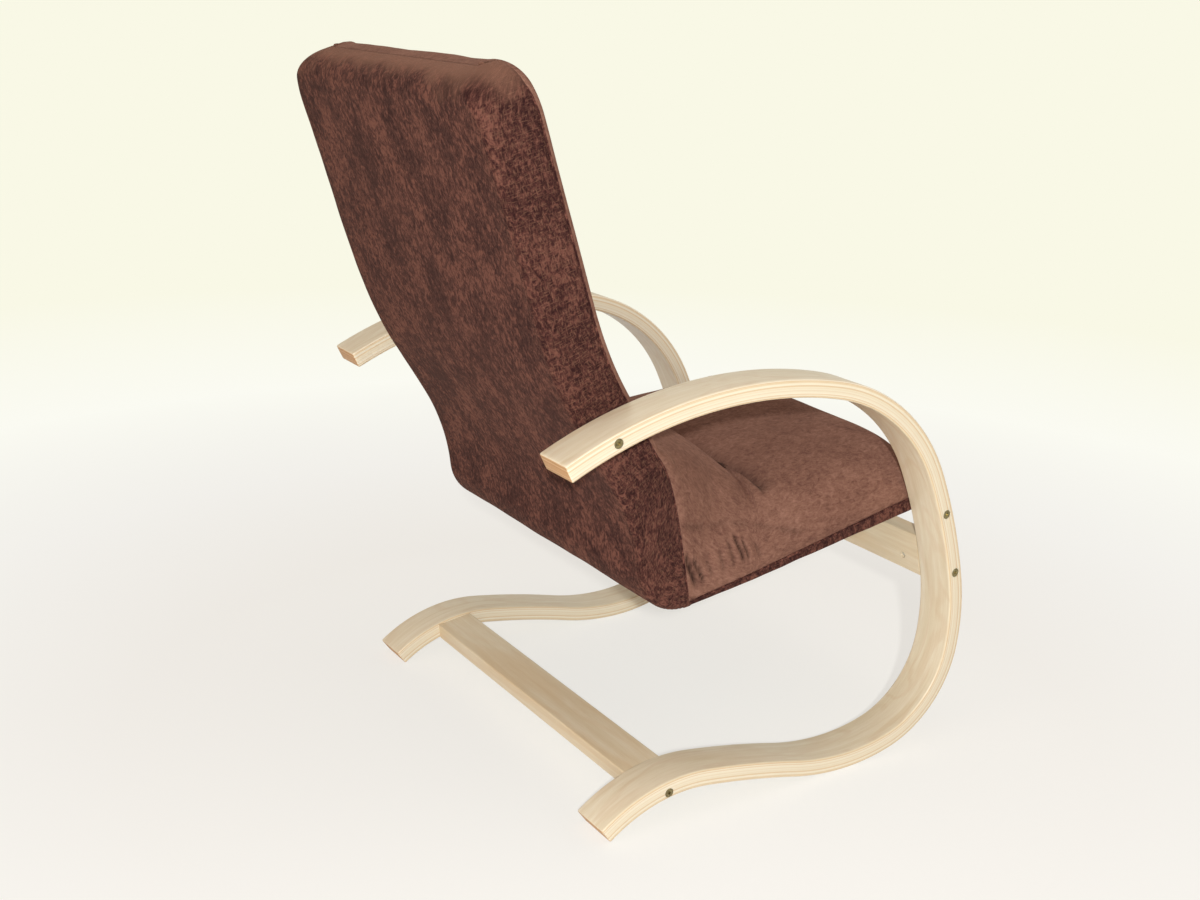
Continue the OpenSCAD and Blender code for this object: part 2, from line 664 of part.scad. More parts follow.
// Closed loft of rings
module loft(rings) {
    rows = len(rings);
    cols = len(rings[0]);
    points = [for (r = rings) each r];
    polyhedron(points = points, faces = concat(
        [for (r = [0 : rows - 2], c = [0 : cols - 1])
            let (a = r * cols + c, b = r * cols + (c + 1) % cols, e = a + cols, f = b + cols)
            each [[a, f, b], [a, e, f]]],
        [for (c = [1 : cols - 2]) [0, c, c + 1]],
        [for (c = [1 : cols - 2])
            [(rows - 1) * cols, (rows - 1) * cols + c + 1, (rows - 1) * cols + c]]));
}

// Front cover: from the band at the nose over seat and back to the middle of the top
function collapsed(row, n) = [row[0], row[1], n + fit_play / 10, n, row[4], row[5]];
top_mid = (back_d) / 2;
function front_grid(d) =
    let (lo = seat_rows(d), fan = fan_rows(d, 0, fan_count), up = back_rows(d),
         last = up[len(up) - 1])
    concat([front_line(collapsed(lo[0], lo[0][3]), 0)],
           [for (r = lo) front_line(r, 0)],
           [for (i = [0 : fan_count]) front_line(fan[i], i == 0 ? crease_d : 0)],
           [for (r = up) front_line(r, 0)],
           [front_line([last[0], last[1], top_mid + fit_play, top_mid, last[4], last[5]], 0)]);
module front_cover() {
    color(brown_light) in_shell() sheet(front_grid(cover_t), front_grid(0));
}
// Rear cover: from the corner under the back up to the middle of the top
rear_from = 3;
function rear_grid(d) =
    let (fan = fan_rows(d, rear_from, fan_count), up = back_rows(d), last = up[len(up) - 1])
    concat([for (r = fan) rear_line(r, d)], [for (r = up) rear_line(r, d)],
           [rear_line([last[0], last[1], last[2], top_mid, top_mid - d / 2, last[5]], d)]);
module rear_cover() {
    difference() {
        color(brown_dark) in_shell() sheet(rear_grid(0), rear_grid(cover_t));
        both_sides() stood() across(arm_bolt, member_half - overrun, inner_half, bolt_d + bolt_play);
    }
}

// Foam
foam_skin = cover_t + 3 * fit_play;
foam_rear = member_depth + member_t / 2 + strap_t + 4 * fit_play;
function foam_ring(row, s_normal, crease) =
    let (c = max(row[1] * s_normal, 1 / 2), n = foam_rear / (c * c), h = row[5],
         front = front_line(row, crease))
    concat([for (k = [0 : front_spans])
        let (p = front[k], q = section_point(row, 0, 0), up = [p[0] - q[0], p[1] - q[1]],
             lowest = n + fit_play * (1 + sin(180 * k / front_spans)))
        up * row[1] < lowest ? section_point(row, p[2], lowest) : p],
        [section_point(row, h, n), section_point(row, -h, n)]);
fan_split = 5;
function normal_at(t) =
    let (l = fan_place(t), e = fit_play,
         a = rear_point(l - e), b = rear_point(l + e))
    left(atan2(b[1] - a[1], b[0] - a[0]));
function fan_ring(i, lag) =
    let (s = fan_station(i / fan_count + lag))
    foam_ring(plain_row(s, foam_skin), normal_at(i / fan_count + lag), i == 0 ? crease_d : 0);
split_lag = 0.002;
module seat_foam() {
    rings = concat([for (r = seat_rows(foam_skin)) foam_ring(r, left(0), 0)],
                   [for (i = [0 : fan_split]) fan_ring(i, i == fan_split ? -split_lag : 0)]);
    color("#d8cba6") in_shell() loft(rings);
}
module back_foam() {
    rings = concat([for (i = [fan_split : fan_count]) fan_ring(i, i == fan_split ? split_lag : 0)],
                   [for (r = back_rows(foam_skin)) foam_ring(r, r[1], 0)]);
    color("#d8cba6") in_shell() loft(rings);
}

// Dark band round the seat's lower edge, in the shell's frame
module seat_plan(inset, to) {
    half = shell_half - inset;
    r = nose_corner_r - inset;
    from = inset - seat_len;
    translate([from + r, -half]) square([to - from - r, 2 * half]);
    translate([from, r - half]) square([r + overrun, 2 * (half - r)]);
    for (j = [-1, 1]) translate([from + r, j * (half - r)]) circle(r = r);
}
band_hem = 20;
// Outline plane of the seat seen from above, on the seat's underside
module on_seat(lift) {
    in_shell() translate([0, lift - member_depth, 0]) rotate([-90, 0, 0]) children();
}
// Seam between the band and the front cover, from the nose to the corner
seam_line = [for (r = concat(seat_rows(0), fan_rows(0, 0, rear_from)))
    let (n = r[3] - fit_play) [r[0][0] + r[1][0] * n, r[0][1] + r[1][1] * n]];
module seat_band() {
    color(brown_dark) difference() {
        intersection() {
            difference() {
                on_seat(0) linear_extrude(height = band_front_h) seat_plan(0, -fit_play);
                on_seat(cover_t) linear_extrude(height = band_front_h) seat_plan(cover_t, overrun);
                on_seat(-overrun) linear_extrude(height = band_front_h)
                    translate([-seat_len + band_hem, band_hem - shell_half])
                        square([seat_len, 2 * (shell_half - band_hem)]);
            }
            in_shell() translate([0, 0, -overall_w / 2])
                linear_extrude(height = overall_w) polygon(concat(
                    [[-seat_len - overrun, -member_depth - overrun]],
                    [[-seat_len - overrun, seam_line[0][1]]], seam_line,
                    [[-fit_play, -member_depth], [-fit_play, -member_depth - overrun]]));
        }
        both_sides() stood()
            across(seat_bolt, member_half - overrun, inner_half, bolt_d + bolt_play);
    }
}
module underside_cloth() {
    color("#2b2a28") on_seat(cover_t + fit_play / 2)
        linear_extrude(height = wadding_t - fit_play)
            translate([-seat_len + cover_t + band_hem / 2, band_hem / 2 - shell_half])
                square([seat_len - cover_t - band_hem / 2 - fit_play, 2 * shell_half - band_hem]);
}

side_frame_left();
side_frame_right();
front_rail();
rear_rail();
front_rail_bolts();
rear_rail_bolts();
front_rail_nuts();
rear_rail_nuts();
front_rail_dowels();
rear_rail_dowels();
arm_bolts();
seat_bolts();
arm_inserts();
seat_inserts();
shell_side_left();
shell_side_right();
top_cross_rail();
lumbar_cross_rail();
seat_rear_cross_rail();
seat_front_cross_rail();
cross_rail_screws();
back_webbing();
seat_webbing();
back_foam();
seat_foam();
rear_cover();
front_cover();
seat_band();
underside_cloth();
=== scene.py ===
import functools
import math

import bmesh
import bpy
import numpy as np
from mathutils import Matrix, Vector, noise


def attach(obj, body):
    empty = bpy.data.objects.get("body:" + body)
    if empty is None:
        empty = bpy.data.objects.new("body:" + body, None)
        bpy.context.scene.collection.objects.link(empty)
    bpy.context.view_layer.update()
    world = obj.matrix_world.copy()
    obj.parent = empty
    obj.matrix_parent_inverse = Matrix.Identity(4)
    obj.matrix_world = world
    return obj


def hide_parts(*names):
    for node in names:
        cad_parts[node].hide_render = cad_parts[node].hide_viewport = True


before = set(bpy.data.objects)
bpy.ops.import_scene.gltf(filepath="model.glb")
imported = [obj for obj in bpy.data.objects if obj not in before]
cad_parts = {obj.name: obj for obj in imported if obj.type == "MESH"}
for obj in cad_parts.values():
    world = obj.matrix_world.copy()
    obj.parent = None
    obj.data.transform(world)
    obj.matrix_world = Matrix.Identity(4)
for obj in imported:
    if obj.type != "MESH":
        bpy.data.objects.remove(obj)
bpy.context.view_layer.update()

# Sizes in millimetres, as the solids have them. MM turns them to metres.
MM = 0.001
overall_w, strip_w, strip_t, strip_edge_r = 650, 60, 24, 3
toe_r, knee_r, shin_r, post_low_r, post_r, elbow_r, arm_r = 295, 145, 295, 290, 750, 262, 600
runner_low_r, runner_r, heel_r, sole_flat = 360, 1320, 208, 0.5
toe_turn, knee_turn, post_low_turn, post_turn, elbow_turn, arm_turn = 15, 68, 13, 12.5, 52.5, 39
runner_low_turn, runner_turn = 14, 6.5
seat_bolt_turn, arm_bolt_turn, front_rail_turn, rear_rail_turn = 8, 32.2, 0.8, 17
rear_rail_drop = 4
head_d, head_h, bolt_d, bolt_play = 12, 3, 6, 0.4
socket_w, socket_depth, insert_l = 4, 2, 18
barrel_inset, bolt_past_nut = 32, 8
member_t = 18
corner_r, corner_turn, lumbar_r, lumbar_turn = 65, 93.5, 290, 25
waist_l, shoulder_r, shoulder_turn, upper_back_l, seat_nose_l = 92, 560, 14, 294, 20
cover_t, wadding_t, face_play, fit_play = 2, 1, 0.2, 0.1
strap_w, strap_t, strap_gap = 50, 2, 22
back_side_d, back_d, seat_front_d, seat_rear_d, seat_top_l = 70, 94, 98, 126, 254
crease_d = 16
band_front_h, band_rear_h = 21, 11
top_roll_r, top_corner_r, nose_roll_r, nose_corner_r, rear_edge_r = 30, 64, 30, 12, 12
# The cloth's own: the crease bends forward past its even middle and runs out at its ends
crease_reach, crease_half, crease_bend, crease_even, crease_fade = 9, 230, 24, 95, 32
no_crease, side_fullness, fan_step = 1000.0, 0.41, 1.1

# Node trees and materials


def add(tree, kind, inputs=None, stops=(), **settings):
    """Adds one node with its settings, colour stops and links.

    An input takes a plain value, a node's output socket, or a node for its first output."""
    node = tree.nodes.new(kind)
    for name, value in settings.items():
        setattr(node, name, value)
    for number, (position, code) in enumerate(stops):
        marks = node.color_ramp.elements
        mark = marks[number] if number < 2 else marks.new(position)
        mark.position, mark.color = position, colour(code)
    for key, value in (inputs or {}).items():
        if isinstance(value, bpy.types.Node):
            value = value.outputs[0]
        if isinstance(value, bpy.types.NodeSocket):
            tree.links.new(value, node.inputs[key])
        else:
            node.inputs[key].default_value = value
    return node


def colour(code):
    """Linear colour of an sRGB hex value."""
    parts = [int(code[i : i + 2], 16) / 255 for i in (1, 3, 5)]
    return [p / 12.92 if p <= 0.04045 else ((p + 0.055) / 1.055) ** 2.4 for p in parts] + [1.0]


def new_material(name):
    """A material with an empty tree, and add() with that tree filled in."""
    made = bpy.data.materials.new(name)
    made.use_nodes = True
    made.node_tree.nodes.clear()
    return made, functools.partial(add, made.node_tree)


# One veneer's thickness in metres, and where in a veneer the strip's middle lies
veneer, veneer_phase = 0.0015, 8.27


def birch_laminate():
    """Birch veneers 1.5 mm thick, glued, bent, sanded and lacquered satin.
    A wide face shows one veneer's soft grain, the edges show the stack as fine lines."""
    made, put = new_material("birch_laminate_satin_lacquer")
    place = put("ShaderNodeAttribute", attribute_name="strip").outputs[1]
    thick = put("ShaderNodeSeparateXYZ", {0: place}).outputs[2]
    # The veneers wander by a few tenths of a millimetre along the strip
    slow = put("ShaderNodeMapping", {0: place, "Scale": (6, 20, 0)})
    drift = put("ShaderNodeTexNoise", {"Vector": slow, "Scale": 1.0, "Detail": 1.0})
    drifted = put("ShaderNodeMath", {0: drift, 1: 0.0007, 2: thick}, operation="MULTIPLY_ADD")
    layer = put(
        "ShaderNodeMath", {0: drifted, 1: 1 / veneer, 2: veneer_phase}, operation="MULTIPLY_ADD"
    )
    number = put("ShaderNodeMath", {0: layer}, operation="FLOOR")
    tone = put("ShaderNodeTexWhiteNoise", {"W": number}, noise_dimensions="1D")
    joint = put("ShaderNodeMath", {0: layer}, operation="ROUND")
    luck = put("ShaderNodeTexWhiteNoise", {"W": joint}, noise_dimensions="1D")
    off = put("ShaderNodeMath", {0: layer, 1: joint}, operation="SUBTRACT")
    off = put("ShaderNodeMath", {0: off}, operation="ABSOLUTE")
    # Glue line: 0.1 mm in the board, drawn 0.5 mm wide so that it shows
    line = put(
        "ShaderNodeMapRange",
        {"Value": off, "From Min": 0.03, "From Max": 0.32, "To Min": 1.0, "To Max": 0.0},
        interpolation_type="SMOOTHSTEP",
    )
    # Only a few glue lines stand out, where the glue ran thick
    bold = put(
        "ShaderNodeMapRange", {"Value": luck, "From Min": 0.55, "From Max": 0.9, "To Min": 0.1}
    )
    line = put("ShaderNodeMath", {0: line, 1: bold}, operation="MULTIPLY")
    # Grain: streaks 3 to 8 mm wide and some 150 mm long, other in each veneer
    lot = put("ShaderNodeCombineXYZ", {0: number, 1: number, 2: number})
    own = put("ShaderNodeVectorMath", {0: place, 1: lot}, operation="ADD")
    long = put("ShaderNodeMapping", {0: own, "Scale": (6, 130, 0)})
    streak = put(
        "ShaderNodeTexNoise",
        {"Vector": long, "Scale": 1.0, "Detail": 3.0, "Roughness": 0.55, "Distortion": 0.5},
    )
    fine = put("ShaderNodeMapping", {0: own, "Scale": (60, 1300, 900)})
    fibre = put(
        "ShaderNodeTexNoise", {"Vector": fine, "Scale": 1.0, "Detail": 2.0, "Roughness": 0.6}
    )
    # Peeled figure: broad flames some 60 mm wide
    broad = put("ShaderNodeMapping", {0: own, "Scale": (4, 15, 0)})
    flame = put(
        "ShaderNodeTexNoise", {"Vector": broad, "Scale": 1.0, "Detail": 2.0, "Distortion": 1.4}
    )
    rings = put("ShaderNodeMath", {0: flame, 1: 26.0}, operation="MULTIPLY")
    rings = put("ShaderNodeMath", {0: rings}, operation="SINE")
    rings = put(
        "ShaderNodeMapRange", {"Value": rings, "From Min": 0.2, "From Max": 1.0, "To Max": 0.2}
    )
    wood = put(
        "ShaderNodeValToRGB", {0: streak}, ((0.28, "#DDD2B6"), (0.5, "#E5DCC4"), (0.72, "#EBE4D0"))
    )
    flamed = put(
        "ShaderNodeMix", {0: rings, 6: wood, 7: colour("#CBA980")}, data_type="RGBA"
    ).outputs[2]
    pores = put(
        "ShaderNodeMapRange",
        {"Value": fibre, "From Min": 0.35, "From Max": 0.75, "To Min": 0.2, "To Max": 0.0},
    )
    pored = put(
        "ShaderNodeMix", {0: pores, 6: flamed, 7: colour("#C3A27A")}, data_type="RGBA"
    ).outputs[2]
    stack = put(
        "ShaderNodeValToRGB",
        {0: tone},
        ((0.0, "#E6E1CF"), (0.6, "#E1DBC6"), (0.88, "#DACDAE"), (1.0, "#D2BD96")),
    )
    # Past the outermost veneer it is the stack that shows
    depth = put("ShaderNodeMath", {0: thick}, operation="ABSOLUTE")
    inside = put(
        "ShaderNodeMapRange",
        {"Value": depth, "From Min": 0.0106, "From Max": 0.0116, "To Min": 0.85, "To Max": 0.0},
    )
    edged = put("ShaderNodeMix", {0: inside, 6: pored, 7: stack}, data_type="RGBA").outputs[2]
    shown = put("ShaderNodeMath", {0: line, 1: inside}, operation="MULTIPLY")
    lined = put(
        "ShaderNodeMix", {0: shown, 6: edged, 7: colour("#C79A68")}, data_type="RGBA"
    ).outputs[2]
    gloss = put("ShaderNodeMapRange", {"Value": streak, "To Min": 0.46, "To Max": 0.34})
    relief = put("ShaderNodeMath", {0: shown, 1: -0.5, 2: fibre}, operation="MULTIPLY_ADD")
    bump = put("ShaderNodeBump", {"Height": relief, "Distance": 0.00012})
    shader = put(
        "ShaderNodeBsdfPrincipled",
        {
            "Base Color": lined,
            "Roughness": gloss,
            "Normal": bump,
            "Coat Weight": 0.22,
            "Coat Roughness": 0.3,
        },
    )
    put("ShaderNodeOutputMaterial", {0: shader})
    return made


def birch_end_grain():
    """Sawn and sanded end of the laminate: open pores drink the lacquer and turn it
    orange brown."""
    made, put = new_material("birch_laminate_end_grain")
    place = put("ShaderNodeAttribute", attribute_name="strip").outputs[1]
    thick = put("ShaderNodeSeparateXYZ", {0: place}).outputs[2]
    layer = put(
        "ShaderNodeMath", {0: thick, 1: 1 / veneer, 2: veneer_phase}, operation="MULTIPLY_ADD"
    )
    number = put("ShaderNodeMath", {0: layer}, operation="FLOOR")
    tone = put("ShaderNodeTexWhiteNoise", {"W": number}, noise_dimensions="1D")
    fine = put("ShaderNodeMapping", {0: place, "Scale": (1, 700, 1300)})
    pores = put(
        "ShaderNodeTexNoise", {"Vector": fine, "Scale": 1.0, "Detail": 3.0, "Roughness": 0.6}
    )
    base = put(
        "ShaderNodeValToRGB", {0: tone}, ((0.0, "#DDBB90"), (0.55, "#CFA678"), (1.0, "#B98A58"))
    )
    deep = put(
        "ShaderNodeMapRange",
        {"Value": pores, "From Min": 0.35, "From Max": 0.7, "To Min": 0.4, "To Max": 0.0},
    )
    pored = put(
        "ShaderNodeMix", {0: deep, 6: base, 7: colour("#96673C")}, data_type="RGBA"
    ).outputs[2]
    bump = put("ShaderNodeBump", {"Height": pores, "Distance": 0.0002})
    shader = put(
        "ShaderNodeBsdfPrincipled", {"Base Color": pored, "Roughness": 0.55, "Normal": bump}
    )
    put("ShaderNodeOutputMaterial", {0: shader})
    return made


def birch_board():
    """Planed solid birch of the rails, lacquered satin: a faint straight grain along X."""
    made, put = new_material("birch_board_satin_lacquer")
    place = put("ShaderNodeTexCoord").outputs["Object"]
    long = put("ShaderNodeMapping", {0: place, "Scale": (5, 90, 90)})
    streak = put(
        "ShaderNodeTexNoise",
        {"Vector": long, "Scale": 1.0, "Detail": 3.0, "Roughness": 0.55, "Distortion": 0.5},
    )
    fine = put("ShaderNodeMapping", {0: place, "Scale": (40, 1100, 1100)})
    fibre = put(
        "ShaderNodeTexNoise", {"Vector": fine, "Scale": 1.0, "Detail": 2.0, "Roughness": 0.6}
    )
    broad = put("ShaderNodeMapping", {0: place, "Scale": (5, 24, 24)})
    flame = put(
        "ShaderNodeTexNoise", {"Vector": broad, "Scale": 1.0, "Detail": 2.0, "Distortion": 1.0}
    )
    wood = put(
        "ShaderNodeValToRGB", {0: streak}, ((0.28, "#DACAAA"), (0.52, "#E2D6BA"), (0.74, "#E9E0C9"))
    )
    warm = put(
        "ShaderNodeMapRange", {"Value": flame, "From Min": 0.42, "From Max": 0.7, "To Max": 0.45}
    )
    warmed = put(
        "ShaderNodeMix", {0: warm, 6: wood, 7: colour("#D9BD93")}, data_type="RGBA"
    ).outputs[2]
    pores = put(
        "ShaderNodeMapRange",
        {"Value": fibre, "From Min": 0.35, "From Max": 0.75, "To Min": 0.2, "To Max": 0.0},
    )
    pored = put(
        "ShaderNodeMix", {0: pores, 6: warmed, 7: colour("#BE9A6E")}, data_type="RGBA"
    ).outputs[2]
    gloss = put("ShaderNodeMapRange", {"Value": streak, "To Min": 0.48, "To Max": 0.36})
    bump = put("ShaderNodeBump", {"Height": fibre, "Distance": 0.00012})
    shader = put(
        "ShaderNodeBsdfPrincipled",
        {
            "Base Color": pored,
            "Roughness": gloss,
            "Normal": bump,
            "Coat Weight": 0.18,
            "Coat Roughness": 0.3,
        },
    )
    put("ShaderNodeOutputMaterial", {0: shader})
    return made


def bare_wood(name, dark, light):
    """Sawn frame wood and turned dowels, left bare and dull."""
    made, put = new_material(name)
    place = put("ShaderNodeTexCoord").outputs["Object"]
    long = put("ShaderNodeMapping", {0: place, "Scale": (30, 160, 160)})
    streak = put(
        "ShaderNodeTexNoise",
        {"Vector": long, "Scale": 1.0, "Detail": 3.0, "Roughness": 0.6, "Distortion": 0.3},
    )
    wood = put("ShaderNodeValToRGB", {0: streak}, ((0.3, dark), (0.7, light)))
    bump = put("ShaderNodeBump", {"Height": streak, "Distance": 0.0003})
    shader = put("ShaderNodeBsdfPrincipled", {"Base Color": wood, "Roughness": 0.7, "Normal": bump})
    put("ShaderNodeOutputMaterial", {0: shader})
    return made


def plated(name, dark, light, rough):
    """Plated steel: even metal with faint wiping marks and tarnish."""
    made, put = new_material(name)
    place = put("ShaderNodeTexCoord").outputs["Object"]
    tarnish = put(
        "ShaderNodeTexNoise", {"Vector": place, "Scale": 350.0, "Detail": 3.0, "Roughness": 0.6}
    )
    tone = put("ShaderNodeValToRGB", {0: tarnish}, ((0.3, dark), (0.7, light)))
    gloss = put(
        "ShaderNodeMapRange", {"Value": tarnish, "To Min": rough + 0.1, "To Max": rough - 0.06}
    )
    shader = put(
        "ShaderNodeBsdfPrincipled", {"Base Color": tone, "Roughness": gloss, "Metallic": 1.0}
    )
    put("ShaderNodeOutputMaterial", {0: shader})
    return made


def chenille(name, shades, mottle, raking_strength):
    """Woven chenille: its short soft pile lies in patches, which mottle light and dark.
    On its sides the pile is painted darker and single threads stronger: painted shade of light
    raking across them.
    The shades are deep, middle and light pile, a bare thread and a painted highlight.
    One attribute holds the place across and along the cloth and 1 on the sides, where shade is
    painted; the other holds 1 where shade is painted in a fold and 1 where a highlight is painted."""
    made, put = new_material(name)
    deep, middle, light, bare, highlight_tone = shades
    place = put("ShaderNodeAttribute", attribute_name="cloth").outputs[1]
    side = put("ShaderNodeSeparateXYZ", {0: place}).outputs[2]
    # Crushed pile: patches 7 by 11 mm, in clouds of some 60 by 80 mm
    wide = put("ShaderNodeMapping", {0: place, "Scale": (140, 90, 0)})
    patch = put(
        "ShaderNodeTexNoise",
        {"Vector": wide, "Scale": 1.0, "Detail": 3.0, "Roughness": 0.65, "Distortion": 0.8},
    )
    wider = put("ShaderNodeMapping", {0: place, "Scale": (17, 12, 0)})
    cloud = put(
        "ShaderNodeTexNoise", {"Vector": wider, "Scale": 1.0, "Detail": 2.0, "Distortion": 0.6}
    )
    # Tufts: 0.5 mm in the cloth, drawn 2.5 by 5 mm so that they show
    small = put("ShaderNodeMapping", {0: place, "Scale": (400, 200, 0)})
    tuft = put(
        "ShaderNodeTexNoise", {"Vector": small, "Scale": 1.0, "Detail": 2.0, "Roughness": 0.65}
    )
    pile = put("ShaderNodeMath", {0: cloud, 1: 0.5, 2: patch}, operation="MULTIPLY_ADD")
    pile = put("ShaderNodeMath", {0: tuft, 1: 0.6, 2: pile}, operation="MULTIPLY_ADD")
    mean, spread = 1.06, 0.28 / mottle
    pile = put(
        "ShaderNodeMapRange", {"Value": pile, "From Min": mean - spread, "From Max": mean + spread}
    )
    # Threads: 1 mm apart in the cloth, drawn 2 mm apart, broken into dashes some 9 mm long
    level = put("ShaderNodeMapping", {0: place, "Scale": (110, 590, 0)})
    weft = put(
        "ShaderNodeTexNoise", {"Vector": level, "Scale": 1.0, "Detail": 1.0, "Roughness": 0.6}
    )
    steep = put("ShaderNodeMapping", {0: place, "Scale": (590, 110, 0)})
    warp = put(
        "ShaderNodeTexNoise", {"Vector": steep, "Scale": 1.0, "Detail": 1.0, "Roughness": 0.6}
    )
    thread = put("ShaderNodeMath", {0: weft, 1: warp}, operation="MAXIMUM")
    thread = put("ShaderNodeMapRange", {"Value": thread, "From Min": 0.54, "From Max": 0.74})
    # Painted shade on the sides, where light rakes across the cloth: the threads show stronger and
    # the pile is mixed darker
    thread_showing = put("ShaderNodeMath", {0: side, 1: raking_strength, 2: 0.08}, operation="MULTIPLY_ADD")
    shown = put("ShaderNodeMath", {0: thread, 1: thread_showing}, operation="MULTIPLY")
    cloth = put("ShaderNodeValToRGB", {0: pile}, ((0.0, deep), (0.5, middle), (1.0, light)))
    under = put("ShaderNodeMath", {0: side, 1: 0.6 * raking_strength}, operation="MULTIPLY")
    side_darkened = put(
        "ShaderNodeMix", {0: under, 6: cloth, 7: colour(deep)}, data_type="RGBA"
    ).outputs[2]
    threads = put(
        "ShaderNodeMix", {0: shown, 6: side_darkened, 7: colour(bare)}, data_type="RGBA"
    ).outputs[2]
    # Painted shade in folds and the crease: by the attribute's first value the cloth is mixed to
    # nearly black
    nap = put(
        "ShaderNodeSeparateXYZ", {0: put("ShaderNodeAttribute", attribute_name="nap").outputs[1]}
    )
    fold_shaded = put(
        "ShaderNodeMix", {0: nap.outputs[0], 6: threads, 7: colour("#140A09")}, data_type="RGBA"
    ).outputs[2]
    # Painted highlight: by the attribute's second value the cloth is mixed to one lighter shade and
    # shows fewer patches
    top_highlight = put(
        "ShaderNodeMix", {0: nap.outputs[1], 6: fold_shaded, 7: colour(highlight_tone)}, data_type="RGBA"
    ).outputs[2]
    relief = put("ShaderNodeMath", {0: tuft, 1: 0.8, 2: pile}, operation="MULTIPLY_ADD")
    relief = put("ShaderNodeMath", {0: shown, 1: 0.7, 2: relief}, operation="MULTIPLY_ADD")
    bump = put("ShaderNodeBump", {"Height": relief, "Distance": 0.0009, "Strength": 0.6})
    shader = put(
        "ShaderNodeBsdfPrincipled",
        {
            "Base Color": top_highlight,
            "Roughness": 0.92,
            "Normal": bump,
            "Specular IOR Level": 0.15,
            "Sheen Weight": 0.1,
            "Sheen Roughness": 0.4,
            "Sheen Tint": colour("#D3A08C"),
        },
    )
    put("ShaderNodeOutputMaterial", {0: shader})
    return made


def cut_foam():
    """Cut polyurethane foam: open cells about a millimetre wide, dull and pale yellow."""
    made, put = new_material("foam_polyurethane_cut")
    place = put("ShaderNodeTexCoord").outputs["Object"]
    cells = put("ShaderNodeTexVoronoi", {"Vector": place, "Scale": 700.0})
    tone = put("ShaderNodeValToRGB", {0: cells}, ((0.1, "#C9B98D"), (0.7, "#E2D7B4")))
    bump = put("ShaderNodeBump", {"Height": cells, "Distance": 0.0006})
    shader = put(
        "ShaderNodeBsdfPrincipled", {"Base Color": tone, "Roughness": 0.95, "Normal": bump}
    )
    put("ShaderNodeOutputMaterial", {0: shader})
    return made


def spun_cloth():
    """Spun-bonded dust cloth: thin, black and matt, with an embossed dot every 3 mm."""
    made, put = new_material("dust_cloth_spun_bond")
    place = put("ShaderNodeTexCoord").outputs["Object"]
    dots = put("ShaderNodeTexVoronoi", {"Vector": place, "Scale": 330.0, "Randomness": 0.0})
    tone = put("ShaderNodeValToRGB", {0: dots}, ((0.2, "#1E1D1C"), (0.6, "#34322F")))
    bump = put("ShaderNodeBump", {"Height": dots, "Distance": 0.0003})
    shader = put("ShaderNodeBsdfPrincipled", {"Base Color": tone, "Roughness": 0.9, "Normal": bump})
    put("ShaderNodeOutputMaterial", {0: shader})
    return made


def ribbed_webbing():
    """Elastic upholstery webbing: polypropylene over rubber, woven in ribs 2 mm apart."""
    made, put = new_material("webbing_elastic_woven")
    place = put("ShaderNodeTexCoord").outputs["Object"]
    ribs = put("ShaderNodeTexWave", {"Vector": place, "Scale": 160.0, "Distortion": 0.3})
    tone = put("ShaderNodeValToRGB", {0: ribs}, ((0.2, "#2B2926"), (0.8, "#4A4640")))
    bump = put("ShaderNodeBump", {"Height": ribs, "Distance": 0.0004})
    shader = put(
        "ShaderNodeBsdfPrincipled", {"Base Color": tone, "Roughness": 0.85, "Normal": bump}
    )
    put("ShaderNodeOutputMaterial", {0: shader})
    return made


laminate = birch_laminate()
end_grain = birch_end_grain()
board = birch_board()
frame_wood = bare_wood("shell_frame_beech_sawn", "#B98F62", "#D8B88C")
dowel_wood = bare_wood("dowel_beech_turned", "#C29A6C", "#DDBE93")
brass = plated("bolt_brass_plated", "#6B6148", "#A3966E", 0.36)
zinc = plated("nut_zinc_plated", "#9DA0A2", "#D5D8DA", 0.3)
# The last of each cloth's shades is its painted highlight
chenille_dark = chenille(
    "chenille_dark_brown", ("#2A1213", "#482A26", "#71493F", "#7E5B4B", "#8A6554"), 1.75, 0.45
)
chenille_light = chenille(
    "chenille_light_brown", ("#563832", "#7A584B", "#926E60", "#967467", "#926E60"), 0.75, 0.2
)
foam = cut_foam()
dust_cloth = spun_cloth()
webbing = ribbed_webbing()


# Outlines in the side view: first coordinate to the rear, second upwards


def dir_of(h):
    """Direction of a heading in radians."""
    return np.array([math.cos(h), math.sin(h)])


def left_of(h):
    """Direction to the left of a heading."""
    return np.array([-math.sin(h), math.cos(h)])


